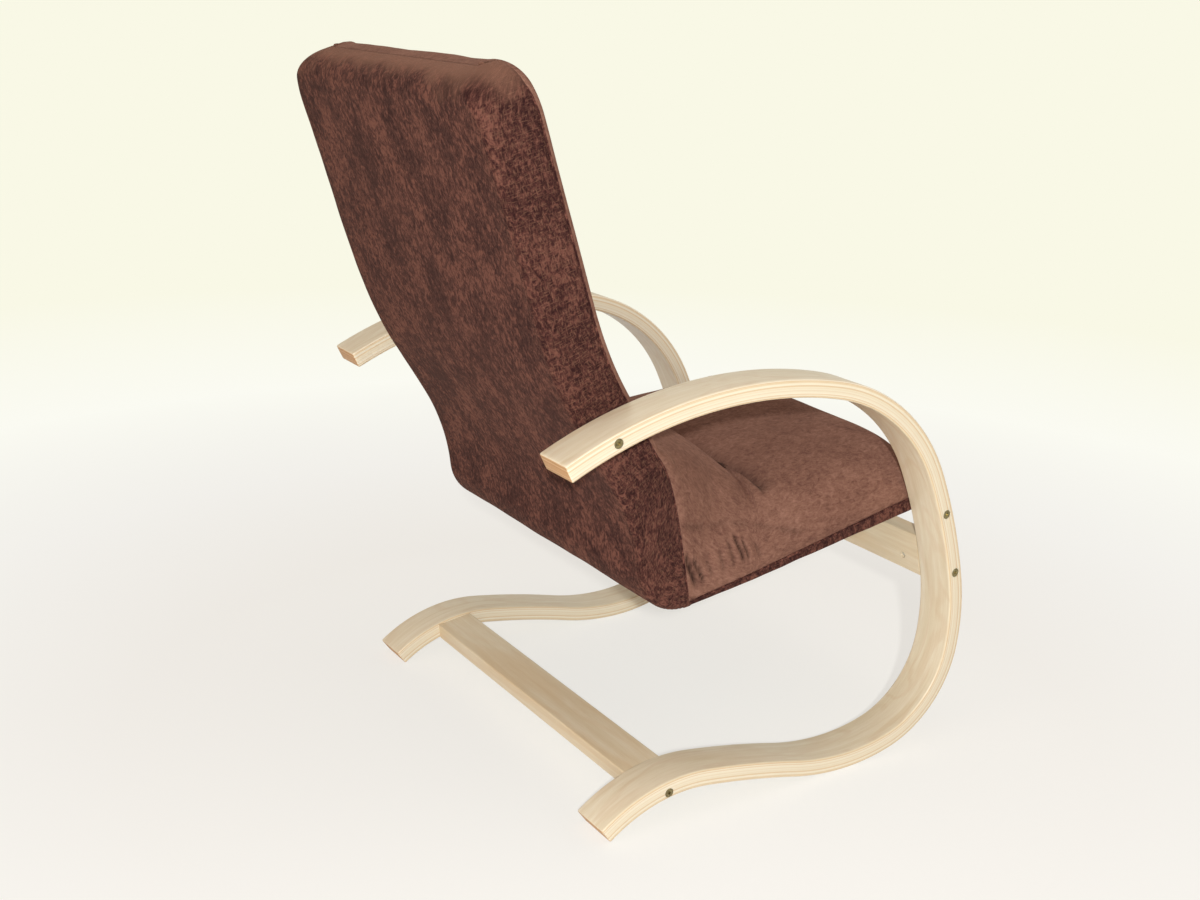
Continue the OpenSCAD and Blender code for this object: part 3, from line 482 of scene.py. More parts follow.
class Outline:
    """A chain of arcs [radius, turn] and straights [length, 0]; a turn to the left is positive."""

    def __init__(self, start, heading, segments):
        p, h = np.array(start, float), math.radians(heading)
        self.runs, self.length = [], 0.0
        for size, turn in segments:
            length = size if turn == 0 else size * math.radians(abs(turn))
            bend = 0.0 if turn == 0 else math.copysign(1 / size, turn)
            self.runs.append((p, h, length, bend))
            p, h = self.step(p, h, length, bend)
            self.length += length
        self.end = (p, h)

    @staticmethod
    def step(p, h, length, bend):
        """Point and heading after a run."""
        if bend == 0:
            return p + length * dir_of(h), h
        return p + (left_of(h) - left_of(h + bend * length)) / bend, h + bend * length

    def at(self, length):
        """Point and heading at a length along the outline."""
        for p, h, run, bend in self.runs:
            if length <= run:
                break
            length -= run
        else:
            p, h, run, bend = self.runs[-1]
            length += run
        return self.step(p, h, length, bend)

    def start_of(self, number):
        """Length along the outline at which a run begins."""
        return sum(run[2] for run in self.runs[:number])

    def place(self, points):
        """Length along and distance to the left of each point, by the nearest run."""
        best = np.full(len(points), 1e9)
        found = np.zeros((len(points), 2))
        before = 0.0
        for p, h, run, bend in self.runs:
            if bend == 0:
                q = points - p
                along, off = q @ dir_of(h), q @ left_of(h)
            else:
                centre = p + left_of(h) / bend
                q = points - centre
                side = math.copysign(1, bend)
                off = side * (1 / abs(bend) - np.hypot(q[:, 0], q[:, 1]))
                start = -left_of(h) * side
                turned = np.arctan2(
                    start[0] * q[:, 1] - start[1] * q[:, 0], q @ start
                )
                along = side * turned / abs(bend)
            over = np.maximum(np.maximum(-along, along - run), 0)
            score = np.abs(off) + 3 * over
            better = score < best
            best[better] = score[better]
            found[better] = np.stack([before + along, off], 1)[better]
            before += run
        return found


up = [
    (toe_r, -toe_turn),
    (knee_r, -knee_turn),
    (shin_r, toe_turn + knee_turn - 90),
    (post_low_r, -post_low_turn),
    (post_r, -post_turn),
    (elbow_r, -elbow_turn),
    (arm_r, -arm_turn),
]
half_t = strip_t / 2
sole_mid = (0, half_t - sole_flat)
rear_two = [(runner_low_r, runner_low_turn), (runner_r, -runner_turn)]
heel_at, heel_heading = Outline(sole_mid, 0, rear_two).end
heel_centre = heel_at - heel_r * left_of(heel_heading)
heel_turn = (
    math.degrees(heel_heading)
    + 90
    - math.degrees(math.asin((-heel_centre[1] - sole_flat) / (heel_r - half_t)))
)
up_line = Outline(sole_mid, 180, up)
runner_line = Outline(sole_mid, 0, rear_two + [(heel_r, -heel_turn)])


def on_up(number, turn):
    """Point on the upward part, a turn into one of its bends."""
    return up_line.at(up_line.start_of(number) + up[number][0] * math.radians(turn))


seat_bolt = on_up(4, seat_bolt_turn)[0]
arm_bolt = on_up(6, arm_bolt_turn)[0]
front_bolt = on_up(4, front_rail_turn)[0]
foot, foot_heading = runner_line.at(
    runner_line.start_of(2) + heel_r * math.radians(rear_rail_turn)
)
rear_bolt = foot - rear_rail_drop * left_of(foot_heading)
front_most = up_line.at(up_line.start_of(3))[0][0] - half_t

inner_half = overall_w / 2 - strip_w
member_depth = cover_t + wadding_t + member_t / 2
arm_in_shell = Outline(
    (0, 0),
    0,
    [
        (corner_r - member_depth, corner_turn),
        (lumbar_r + member_depth, -lumbar_turn),
        (waist_l, 0),
    ],
).end[0]
to_arm = arm_bolt - seat_bolt
seat_l = math.sqrt(to_arm @ to_arm - arm_in_shell[1] ** 2) - arm_in_shell[0]
shell_turn = math.atan2(to_arm[1], to_arm[0]) - math.atan2(
    arm_in_shell[1], arm_in_shell[0] + seat_l
)
corner_at = seat_bolt + seat_l * dir_of(shell_turn)
outer_start = np.array([0.0, -member_depth])
outer = Outline(
    outer_start,
    0,
    [
        (corner_r, corner_turn),
        (lumbar_r, -lumbar_turn),
        (waist_l, 0),
        (shoulder_r, shoulder_turn),
        (upper_back_l, 0),
    ],
)
top_at, top_heading = outer.end
roll_at = top_at - top_roll_r * dir_of(top_heading) + top_roll_r * left_of(top_heading)
cos_t, sin_t = math.cos(shell_turn), math.sin(shell_turn)
rear_most = corner_at[0] + roll_at[0] * cos_t - roll_at[1] * sin_t + top_roll_r
shift_y = -(front_most + rear_most) / 2
shell_half = inner_half - face_play
member_half = shell_half - cover_t - wadding_t
seat_len = seat_l + seat_nose_l


def stood(points):
    """Outline points [rear, up, across] to the object's frame in metres."""
    p = np.asarray(points, float)
    return np.stack([p[..., 2], p[..., 0] + shift_y, p[..., 1]], -1) * MM


def from_shell(points):
    """Points in the shell's own outline frame to the object's frame."""
    p = np.asarray(points, float)
    first = corner_at[0] + p[..., 0] * cos_t - p[..., 1] * sin_t
    second = corner_at[1] + p[..., 0] * sin_t + p[..., 1] * cos_t
    return stood(np.stack([first, second, p[..., 2]], -1))


# Building helpers


def linked(name, data):
    """A new object for a mesh, lamp or camera, in the scene."""
    made = bpy.data.objects.new(name, data)
    bpy.context.collection.objects.link(made)
    return made


def mesh_object(name, points, faces, material_used):
    """A smooth mesh from points in metres and faces."""
    mesh = bpy.data.meshes.new(name)
    mesh.from_pydata([tuple(p) for p in points], [], [tuple(int(i) for i in f) for f in faces])
    mesh.materials.append(material_used)
    mesh.polygons.foreach_set("use_smooth", [True] * len(mesh.polygons))
    return linked(name, mesh)


def worked(name, work):
    """A new object from finished bmesh work."""
    mesh = bpy.data.meshes.new(name)
    work.to_mesh(mesh)
    work.free()
    return linked(name, mesh)


def store(piece, name, values):
    """Stores a vector on each point of a piece."""
    layer = piece.data.attributes.get(name) or piece.data.attributes.new(
        name, "FLOAT_VECTOR", "POINT"
    )
    layer.data.foreach_set("vector", np.asarray(values, "f").ravel())


def points_of(piece):
    """All points of a piece."""
    found = np.empty(len(piece.data.vertices) * 3, "f")
    piece.data.vertices.foreach_get("co", found)
    return found.reshape(-1, 3).astype(float)


def settled(piece):
    """The piece with its modifiers turned into plain mesh."""
    graph = bpy.context.evaluated_depsgraph_get()
    mesh = bpy.data.meshes.new_from_object(piece.evaluated_get(graph))
    mesh.name = piece.name
    made = linked(piece.name + "_piece", mesh)
    bpy.data.objects.remove(piece)
    return made


def carved(piece, cutter):
    """The piece with a cutter's shape taken out of it, and the cutter gone."""
    cut = piece.modifiers.new(cutter.name, "BOOLEAN")
    cut.object, cut.operation, cut.solver = cutter, "DIFFERENCE", "EXACT"
    made = settled(piece)
    bpy.data.objects.remove(cutter)
    return made


def node_tree(name, *inputs):
    """An empty geometry tree with named inputs of (name, kind, value), and add() with
    that tree filled in."""
    tree = bpy.data.node_groups.new(name, "GeometryNodeTree")
    tree.is_modifier = True
    for way in ("INPUT", "OUTPUT"):
        tree.interface.new_socket("Geometry", in_out=way, socket_type="NodeSocketGeometry")
    for label, kind, value in inputs:
        socket = tree.interface.new_socket(label, in_out="INPUT", socket_type="NodeSocket" + kind)
        if value is not None:
            socket.default_value = value
    return tree, functools.partial(add, tree)


def run_tree(piece, tree, **values):
    """Puts a tree on a piece, sets its inputs and returns the finished mesh."""
    modifier = piece.modifiers.new(tree.name, "NODES")
    modifier.node_group = tree
    ids = {s.name: s.identifier for s in tree.interface.items_tree if s.in_out == "INPUT"}
    for label, value in values.items():
        modifier[ids[label.replace("_", " ")]] = value
    return settled(piece)


def strip_tree():
    """Sweeps a rounded flat section along its middle line, for the wood and the straps."""
    tree, put = node_tree(
        "flat strip",
        ("Strip width", "Float", strip_w * MM),
        ("Strip thickness", "Float", strip_t * MM),
        ("Edge radius", "Float", strip_edge_r * MM),
        ("Edge steps", "Int", 5),
        ("Finish", "Material", None),
    )
    given = put("NodeGroupInput").outputs
    line = put("GeometryNodeMeshToCurve", {0: given["Geometry"]})
    section = put(
        "GeometryNodeCurvePrimitiveQuadrilateral",
        {"Width": given["Strip width"], "Height": given["Strip thickness"]},
    )
    rounded = put(
        "GeometryNodeFilletCurve",
        {"Curve": section, "Radius": given["Edge radius"], "Count": given["Edge steps"]},
        mode="POLY",
    )
    swept = put(
        "GeometryNodeCurveToMesh", {"Curve": line, "Profile Curve": rounded, "Fill Caps": True}
    )
    whole = put("GeometryNodeRealizeInstances", {0: swept})
    finished = put("GeometryNodeSetMaterial", {"Geometry": whole, "Material": given["Finish"]})
    put("NodeGroupOutput", {0: finished})
    return tree


def roll_tree():
    """A sewn roll of cloth along a seam."""
    tree, put = node_tree(
        "seam roll",
        ("Roll radius", "Float", 2 * MM),
        ("Steps round", "Int", 10),
        ("Spacing", "Float", 3 * MM),
        ("Cloth", "Material", None),
    )
    given = put("NodeGroupInput").outputs
    line = put("GeometryNodeMeshToCurve", {0: given["Geometry"]})
    even = put(
        "GeometryNodeResampleCurve", {"Curve": line, "Length": given["Spacing"]}, mode="LENGTH"
    )
    ring = put(
        "GeometryNodeCurvePrimitiveCircle",
        {"Resolution": given["Steps round"], "Radius": given["Roll radius"]},
    )
    swept = put(
        "GeometryNodeCurveToMesh", {"Curve": even, "Profile Curve": ring, "Fill Caps": True}
    )
    soft = put("GeometryNodeSetShadeSmooth", {0: swept})
    whole = put("GeometryNodeRealizeInstances", {0: soft})
    finished = put("GeometryNodeSetMaterial", {"Geometry": whole, "Material": given["Cloth"]})
    put("NodeGroupOutput", {0: finished})
    return tree


def line_object(name, points, edges=None):
    """Loose edges through points in metres, one after another unless they are given."""
    mesh = bpy.data.meshes.new(name)
    edges = edges or [(i, i + 1) for i in range(len(points) - 1)]
    mesh.from_pydata([tuple(p) for p in points], edges, [])
    return linked(name, mesh)


# Side frames: one laminated strip each, swept along its middle line

strip_step, eased_w, eased_angle, sharp_angle, end_slack = 7.0, 2.2, 50, 38, 0.6
hole_sides, head_sides, hex_ratio = 48, 40, 1.732


def frame_line_points():
    """Middle line of the strip, from the arm's rear end down and back to the heel."""
    n, m = math.ceil(up_line.length / strip_step), math.ceil(runner_line.length / strip_step)
    rise = [up_line.at(up_line.length * i / n)[0] for i in range(n, 0, -1)]
    back = [runner_line.at(runner_line.length * i / m)[0] for i in range(m + 1)]
    return np.array(rise + back)


def bore_cutters(side):
    """Round holes for the four sunk bolt heads and their shanks."""
    work, over = bmesh.new(), 2
    for p in (arm_bolt, seat_bolt, front_bolt, rear_bolt):
        for x0, x1, d in (
            (overall_w / 2 - head_h - bolt_play, overall_w / 2 + over, head_d + 2 * bolt_play),
            (inner_half - over, overall_w / 2 - head_h, bolt_d + bolt_play),
        ):
            place = stood([p[0], p[1], side * (x0 + x1) / 2])
            bmesh.ops.create_cone(
                work,
                cap_ends=True,
                segments=hole_sides,
                radius1=d / 2 * MM,
                radius2=d / 2 * MM,
                depth=(x1 - x0) * MM,
                matrix=Matrix.Translation(place) @ Matrix.Rotation(math.pi / 2, 4, "Y"),
            )
    return worked("bores", work)


def side_frame(name, side):
    """One side frame: swept, eased at its ends, sanded at the floor and bored."""
    middle = frame_line_points()
    across = np.full((len(middle), 1), side * (overall_w - strip_w) / 2)
    line = line_object(name, stood(np.hstack([middle, across])))
    piece = run_tree(line, strip_tree(), Finish=laminate)
    # The two sawn ends have their edges eased with sandpaper
    eased = piece.modifiers.new("eased ends", "BEVEL")
    eased.width, eased.segments, eased.limit_method = eased_w * MM, 3, "ANGLE"
    eased.angle_limit = math.radians(eased_angle)
    piece = settled(piece)
    work = bmesh.new()
    work.from_mesh(piece.data)
    bmesh.ops.recalc_face_normals(work, faces=work.faces)
    # Sanded flat where it stands
    for v in work.verts:
        v.co.z = max(v.co.z, 0.0)
    work.to_mesh(piece.data)
    work.free()
    piece = carved(piece, bore_cutters(side))
    piece.name = name + "_strip"
    found = points_of(piece)
    flat = np.stack([found[:, 1] / MM - shift_y, found[:, 2] / MM], 1)
    runs_up, runs_back = up_line.place(flat), runner_line.place(flat)
    miss_up, miss_back = (
        np.abs(runs[:, 1]) + 3 * np.maximum(-runs[:, 0], 0) for runs in (runs_up, runs_back)
    )
    on_up_part = miss_up < miss_back
    along = np.where(on_up_part, -runs_up[:, 0], runs_back[:, 0])
    off = np.where(on_up_part, -runs_up[:, 1], runs_back[:, 1])
    store(piece, "strip", np.stack([along, found[:, 0] / MM, off], 1) * MM)
    # Sawn ends get the end grain
    piece.data.materials.append(end_grain)
    for polygon in piece.data.polygons:
        centre = polygon.center
        spot = np.array([centre.y / MM - shift_y, centre.z / MM])
        for p, h in (up_line.end, runner_line.end):
            if abs((spot - p) @ dir_of(h)) < end_slack and np.hypot(*(spot - p)) < strip_t:
                polygon.material_index = 1
    piece.data.polygons.foreach_set("use_smooth", [True] * len(piece.data.polygons))
    piece.data.set_sharp_from_angle(angle=math.radians(sharp_angle))
    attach(piece, "root")
    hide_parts(name)


for name, side in (("side_frame_left", 1), ("side_frame_right", -1)):
    side_frame(name, side)


# Bolts: one turned head with its socket, set at every bolt place


def bolt_shape(name, reach):
    """A bolt along Z with the middle of its head's top at the origin."""
    work = bmesh.new()
    r, h, s, edge = head_d / 2, head_h, bolt_d / 2, 0.5
    profile = [
        (0, 0),
        (r - edge, 0),
        (r - edge * 0.3, -edge * 0.3),
        (r, -edge),
        (r, -h),
        (s, -h),
        (s, -reach + edge),
        (s - edge, -reach),
        (0, -reach),
    ]
    line = [work.verts.new((x * MM, 0, z * MM)) for x, z in profile]
    edges = [work.edges.new((a, b)) for a, b in zip(line, line[1:])]
    bmesh.ops.spin(
        work,
        geom=line + edges,
        cent=(0, 0, 0),
        axis=(0, 0, 1),
        angle=math.tau,
        steps=head_sides,
    )
    bmesh.ops.remove_doubles(work, verts=work.verts, dist=1e-6)
    bmesh.ops.recalc_face_normals(work, faces=work.faces)
    socket = bmesh.new()
    bmesh.ops.create_cone(
        socket,
        cap_ends=True,
        segments=6,
        radius1=socket_w / hex_ratio * MM,
        radius2=socket_w / hex_ratio * MM,
        depth=2 * socket_depth * MM,
    )
    return carved(worked(name, work), worked("socket", socket))


def bolt_tree():
    """Sets the bolt at every point, its head to the outside."""
    tree, put = node_tree("sunk bolts", ("Bolt", "Object", None), ("Plating", "Material", None))
    given = put("NodeGroupInput").outputs
    shape = put("GeometryNodeObjectInfo", {"Object": given["Bolt"]})
    spot = put("GeometryNodeInputPosition")
    outside = put("ShaderNodeVectorMath", {0: spot, 1: (1, 0, 0)}, operation="MULTIPLY")
    facing = put("FunctionNodeAlignRotationToVector", {"Vector": outside}, axis="Z")
    placed = put(
        "GeometryNodeInstanceOnPoints",
        {"Points": given["Geometry"], "Instance": shape.outputs["Geometry"], "Rotation": facing},
    )
    whole = put("GeometryNodeRealizeInstances", {0: placed})
    finished = put("GeometryNodeSetMaterial", {"Geometry": whole, "Material": given["Plating"]})
    put("NodeGroupOutput", {0: finished})
    return tree


top_x = overall_w / 2 - bolt_play / 2
rail_reach = top_x - (inner_half - barrel_inset - bolt_past_nut)
shell_reach = top_x - (member_half - insert_l + bolt_play)
for name, p, reach in (
    ("front_rail_bolts", front_bolt, rail_reach),
    ("rear_rail_bolts", rear_bolt, rail_reach),
    ("arm_bolts", arm_bolt, shell_reach),
    ("seat_bolts", seat_bolt, shell_reach),
):
    shape = bolt_shape(name + "_shape", reach)
    spots = bpy.data.meshes.new(name)
    spots.from_pydata([tuple(stood([p[0], p[1], s * top_x])) for s in (1, -1)], [], [])
    piece = run_tree(linked(name, spots), bolt_tree(), Bolt=shape, Plating=brass)
    bpy.data.objects.remove(shape)
    piece.name = name + "_turned"
    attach(piece, "root")
    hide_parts(name)


# Upholstery. A station is rear point, direction to the front, depth and side seam.

back_fan_l = outer.start_of(2)
fan_lead = 1.5 * corner_r
waist, waist_heading = outer.at(back_fan_l)
crease_at = np.array([seat_top_l - seat_len, seat_rear_d - member_depth - crease_d / 2])
waist_front = waist + back_d * left_of(waist_heading)
chord = waist_front - crease_at
bulge_at = (crease_at + waist_front) / 2 + 2 * crease_d * left_of(math.atan2(chord[1], chord[0]))
lead_share = 0.3
back_l = outer.length - back_fan_l


def rear_point(length):
    """Point of the shell's rear line, also under the seat where lengths are negative."""
    return outer_start + np.array([length, 0.0]) if length <= 0 else outer.at(length)[0]


def bow(t):
    """Front of the lower back pad, from the crease to the waist."""
    return (1 - t) ** 2 * crease_at + 2 * t * (1 - t) * bulge_at + t * t * waist_front


def fan_place(t):
    """Where on the rear line a station of the fan stands: under the seat, then up the back."""
    if t < lead_share:
        return -fan_lead * (1 - t / lead_share)
    return back_fan_l * (t - lead_share) / (1 - lead_share)


def seat_station(t):
    """Station of the seat, at a share of the way from its nose to the crease."""
    b = np.array([-seat_len + t * (seat_len - fan_lead), -member_depth])
    f = np.array(
        [
            -seat_len + t * seat_top_l,
            seat_front_d + t * (seat_rear_d - seat_front_d) - member_depth,
        ]
    )
    d = np.linalg.norm(f - b)
    return b, (f - b) / d, d, band_front_h + t * (band_rear_h - band_front_h)


def fan_station(t):
    """Station of the fan round the corner, from the crease to the waist."""
    b, f = rear_point(fan_place(t)), bow(t)
    d = np.linalg.norm(f - b)
    seam_x = (waist[0] + back_side_d * left_of(waist_heading)[0]) * t**5
    share = (b[0] - seam_x) / max(b[0] - f[0], strap_t)
    return b, (f - b) / d, d, max(band_rear_h, share * d)


def back_station(length):
    """Station of the back, at a length above the waist."""
    p, h = outer.at(back_fan_l + length)
    return p, left_of(h), back_d, back_side_d


def taper(half, r, dist, skin):
    """Half width beside a corner of radius r, at a distance from the end."""
    if dist >= r:
        return half - skin
    return half - r + math.sqrt(max(0.0, (r - skin) ** 2 - (r - dist) ** 2))


# A row is rear point, direction, front depth, side seam, rear depth, half width and
# the distance past the crease. Each takes a skin off the outside.

under_from, under_rows, nose_rows, corner_rows, roll_rows = 0.002, 10, 15, 8, 17
front_over_rows, rear_over_rows = 7, 5
first_gap, gap_growth = 0.8, 1.07


def plain_row(station, skin, half=None, gone=no_crease):
    """Row of a station."""
    b, e, d, seam = station
    return [b, e, d - skin, seam, skin, half or shell_half - skin, gone]


def nose_row(turn, skin):
    """Row on the roll of the seat's front edge."""
    a, r = math.radians(turn), nose_roll_r - skin
    dist = skin + r * (1 - math.sin(a))
    row = plain_row(seat_station(dist / seat_len), skin)
    row[2] -= r * (1 - math.cos(a))
    row[5] = taper(shell_half, nose_corner_r, dist, skin)
    return row


def top_row(turn, skin):
    """Row on the roll over the top of the back."""
    a, r = math.radians(turn), top_roll_r - skin
    dist, drop = skin + r * (1 - math.sin(a)), r * (1 - math.cos(a))
    row = plain_row(back_station(back_l - dist), skin)
    row[2] -= drop
    row[4] += drop
    row[3] = min(row[3], row[2] - skin)
    row[5] = taper(shell_half, top_corner_r, dist, skin)
    return row


def smooth_step(value, low, high):
    """0 up to the low value, 1 from the high one, and smooth between."""
    t = np.clip((value - low) / (high - low), 0, 1)
    return t * t * (3 - 2 * t)


def crease_forward(v):
    """How far the crease has bent to the front at a distance from the middle."""
    return crease_bend * smooth_step(np.abs(v), crease_even, crease_half - crease_fade / 4)


def crease_dip(gone, v):
    """Depth of the crease: soft shoulders, a narrow bottom, run out before the sides."""
    off = np.abs(gone + crease_forward(v)) / crease_reach
    run_out = smooth_step(np.abs(v), crease_half - crease_fade, crease_half)
    return crease_d * np.exp(-(off**0.9)) * (1 - run_out)


def spaced(length, step):
    """Distances from 0 to a length, in gaps that grow up to the step."""
    found, gap = [0.0], first_gap
    while found[-1] < length:
        found.append(found[-1] + gap)
        gap = min(step, gap * gap_growth)
    return np.array(found) * length / found[-1]


bow_shares = np.linspace(0, 1, 400)
bow_run = np.array([np.linalg.norm(bow(t) - crease_at) for t in bow_shares])


def seat_rows(step, skin):
    """Rows up the nose and over the seat, closer together towards the crease."""
    rows = [nose_row(a, skin) for a in np.linspace(90, 0, nose_rows)]
    start = nose_roll_r / seat_len
    for gone in spaced(seat_top_l * (1 - start), step)[::-1][1:-1]:
        station = seat_station(1 - gone / seat_top_l)
        rows.append(plain_row(station, skin, gone=-gone))
    return rows


def front_fan_rows(step):
    """Rows from the crease up to the waist."""
    rows = []
    for gone in spaced(bow_run[-1], step):
        station = fan_station(np.interp(gone, bow_run, bow_shares))
        rows.append(plain_row(station, 0.0, gone=gone))
    return rows


def back_rows(step, skin):
    """Rows from the waist to the end of the roll over the top."""
    run = back_l - top_corner_r
    spots = list(np.linspace(0, run, math.ceil(run / step) + 1)[1:])
    spots += [back_l - d for d in np.linspace(top_corner_r, top_roll_r, corner_rows)[1:-1]]
    rows = []
    for spot in spots:
        half = taper(shell_half, top_corner_r, back_l - spot, skin)
        rows.append(plain_row(back_station(spot), skin, half))
    return rows + [top_row(a, skin) for a in np.linspace(0, 90, roll_rows)]


def front_rows(step):
    """Rows of the front: up the nose, over seat and back, to the middle of the top."""
    seat, back = seat_rows(step, 0.0), back_rows(step, 0.0)
    rows = []
    for share in np.linspace(under_from, 1, under_rows)[:-1]:
        row = list(seat[0])
        row[2] = row[3] + (seat[0][2] - row[3]) * share
        rows.append(row)
    rows += seat + front_fan_rows(fan_step) + back
    for share in np.linspace(0, 1, front_over_rows)[1:]:
        row = list(back[-1])
        row[2] += (back_d / 2 + fit_play - row[2]) * share
        row[3] = min(row[3], back_d / 2)
        rows.append(row)
    return rows


def rear_rows(step):
    """Rows of the rear: from the corner under the back to the middle of the top."""
    count = math.ceil(back_fan_l / step)
    fan = [fan_station(lead_share + (1 - lead_share) * i / count) for i in range(count + 1)]
    rows = [plain_row(station, 0.0) for station in fan] + back_rows(step, 0.0)
    last = rows[-1]
    for share in np.linspace(0, 1, rear_over_rows)[1:]:
        row = list(last)
        row[3] += (back_d / 2 - row[3]) * share
        row[4] += (back_d / 2 - fit_play - row[4]) * share
        rows.append(row)
    return rows


pillow_turns = 721
side_steps, arc_steps, flat_steps, least_edge_r = 20, 18, 80, 0.05


def run_of(line):
    """Length run along a line of points."""
    return np.concatenate([[0], np.cumsum(np.linalg.norm(np.diff(line, axis=0), axis=1))])


def at_runs(line, run, want):
    """A line's points at other lengths along it."""
    return np.stack([np.interp(want, run, line[:, i]) for i in range(3)], 1)


def front_line(row, columns):
    """Section across the front: a flat pillow with full sides, evenly spaced."""
    b, e, depth, seam, _, half, gone = row
    turns = np.linspace(0, math.pi, pillow_turns)
    c = np.cos(turns)
    v = -half * np.sign(c) * np.abs(c) ** side_fullness
    n = seam + (depth - seam - crease_dip(gone, v)) * np.sin(turns)
    line = np.stack([b[0] + e[0] * n, b[1] + e[1] * n, v], 1)
    run = run_of(line)
    return at_runs(line, run, np.linspace(0, run[-1], columns))


def rear_line(row):
    """Section round the rear, from one side seam to the other."""
    b, e, _, seam, low, half, _ = row
    r = max(least_edge_r, min(rear_edge_r, seam - low - fit_play))
    side = [(half, n) for n in np.linspace(seam, low + r, side_steps)]
    for a in np.linspace(0, math.pi / 2, arc_steps)[1:]:
        side.append((half - r * (1 - math.cos(a)), low + r * (1 - math.sin(a))))
    flat = [(v, low) for v in np.linspace(half - r, r - half, flat_steps)[1:-1]]
    p = np.array([(-v, n) for v, n in side + flat] + side[::-1])
    line = np.stack([b[0] + e[0] * p[:, 1], b[1] + e[1] * p[:, 1], p[:, 0]], 1)
    # Half way to an even spacing, so that no columns crowd where the side runs out
    run = run_of(line)
    return at_runs(line, run, (run + np.linspace(0, run[-1], len(run))) / 2)


def running(grid, axis):
    """Length run along one axis of a grid of points."""
    start = np.take(grid, [0], axis)
    gaps = np.linalg.norm(np.diff(grid, axis=axis, prepend=start), axis=2)
    return np.cumsum(gaps, axis=axis)


def to_border(grid):
    """Distance over the cloth to its nearest side border and nearest end."""
    across, along = running(grid, 1), running(grid, 0)
    return (
        np.minimum(across, across[:, -1:] - across),
        np.minimum(along, along[-1:] - along),
    )


def grid_normals(grid, outward):
    """Normals of a grid of points, turned so that its middle one faces outward.
    Each is evened with its neighbours, so that slivers follow the cloth round them."""
    normal = np.cross(np.gradient(grid, axis=0), np.gradient(grid, axis=1))
    for _ in range(2):
        wide = np.pad(normal, ((1, 1), (1, 1), (0, 0)), "edge")
        normal = sum(
            wide[i : i + len(grid), j : j + grid.shape[1]] for i in range(3) for j in range(3)
        )
    normal /= np.maximum(np.linalg.norm(normal, axis=2, keepdims=True), 1e-12)
    middle = normal[len(grid) // 2, grid.shape[1] // 2]
    return normal if middle @ np.array(outward) > 0 else -normal


def waves(points, size, seed):
    """Smooth noise between -1 and 1, one swell in each size of metres."""
    shift = Vector((seed * 7.31, seed * 3.17, seed * 5.53))
    flat = points.reshape(-1, 3) / size
    return np.array([noise.noise(Vector(p) + shift) for p in flat]).reshape(points.shape[:-1])


def grid_faces(grid, normals):
    """Faces of a grid of points, turned so that its middle one looks along its normal."""
    rows, cols = grid.shape[:2]
    index = np.arange(rows * cols).reshape(rows, cols)
    quads = np.stack([index[:-1, :-1], index[:-1, 1:], index[1:, 1:], index[1:, :-1]], -1)
    i, j = rows // 2, cols // 2
    facing = np.cross(grid[i, j + 1] - grid[i, j], grid[i + 1, j] - grid[i, j])
    quads = quads.reshape(-1, 4)
    return (quads[:, ::-1], True) if facing @ normals[i, j] < 0 else (quads, False)


def cloth_grid(name, grid, normals, place, used, nap=None, thick=cover_t * MM):
    """A closed skin on a grid of points, its thickness on the inner side."""
    rows, cols = grid.shape[:2]
    count = rows * cols
    index = np.arange(count).reshape(rows, cols)
    skin, turned = grid_faces(grid, normals)
    rim = np.concatenate([index[0], index[1:, -1], index[-1, -2::-1], index[-2:0:-1, 0]])
    ahead = np.roll(rim, -1)
    edge = np.stack([ahead, rim, rim + count, ahead + count], -1)
    edge = edge[:, ::-1] if turned else edge
    quads = np.concatenate([skin, skin[:, ::-1] + count, edge])
    points = np.concatenate([grid, grid - normals * thick]).reshape(-1, 3)
    piece = mesh_object(name, points, quads, used)
    store(piece, "cloth", np.concatenate([place, place]))
    if nap is not None:
        store(piece, "nap", np.concatenate([nap, nap]))
    return piece


puff_shrink, puff_cap, puff_pressure, puff_frames = 2.4 * MM, 5.0 * MM, 4.0, 20
puff_step, puff_rim, puff_margin, puff_stride = 7.0 * MM, 16.0 * MM, 4, 2
puff_damping = 10


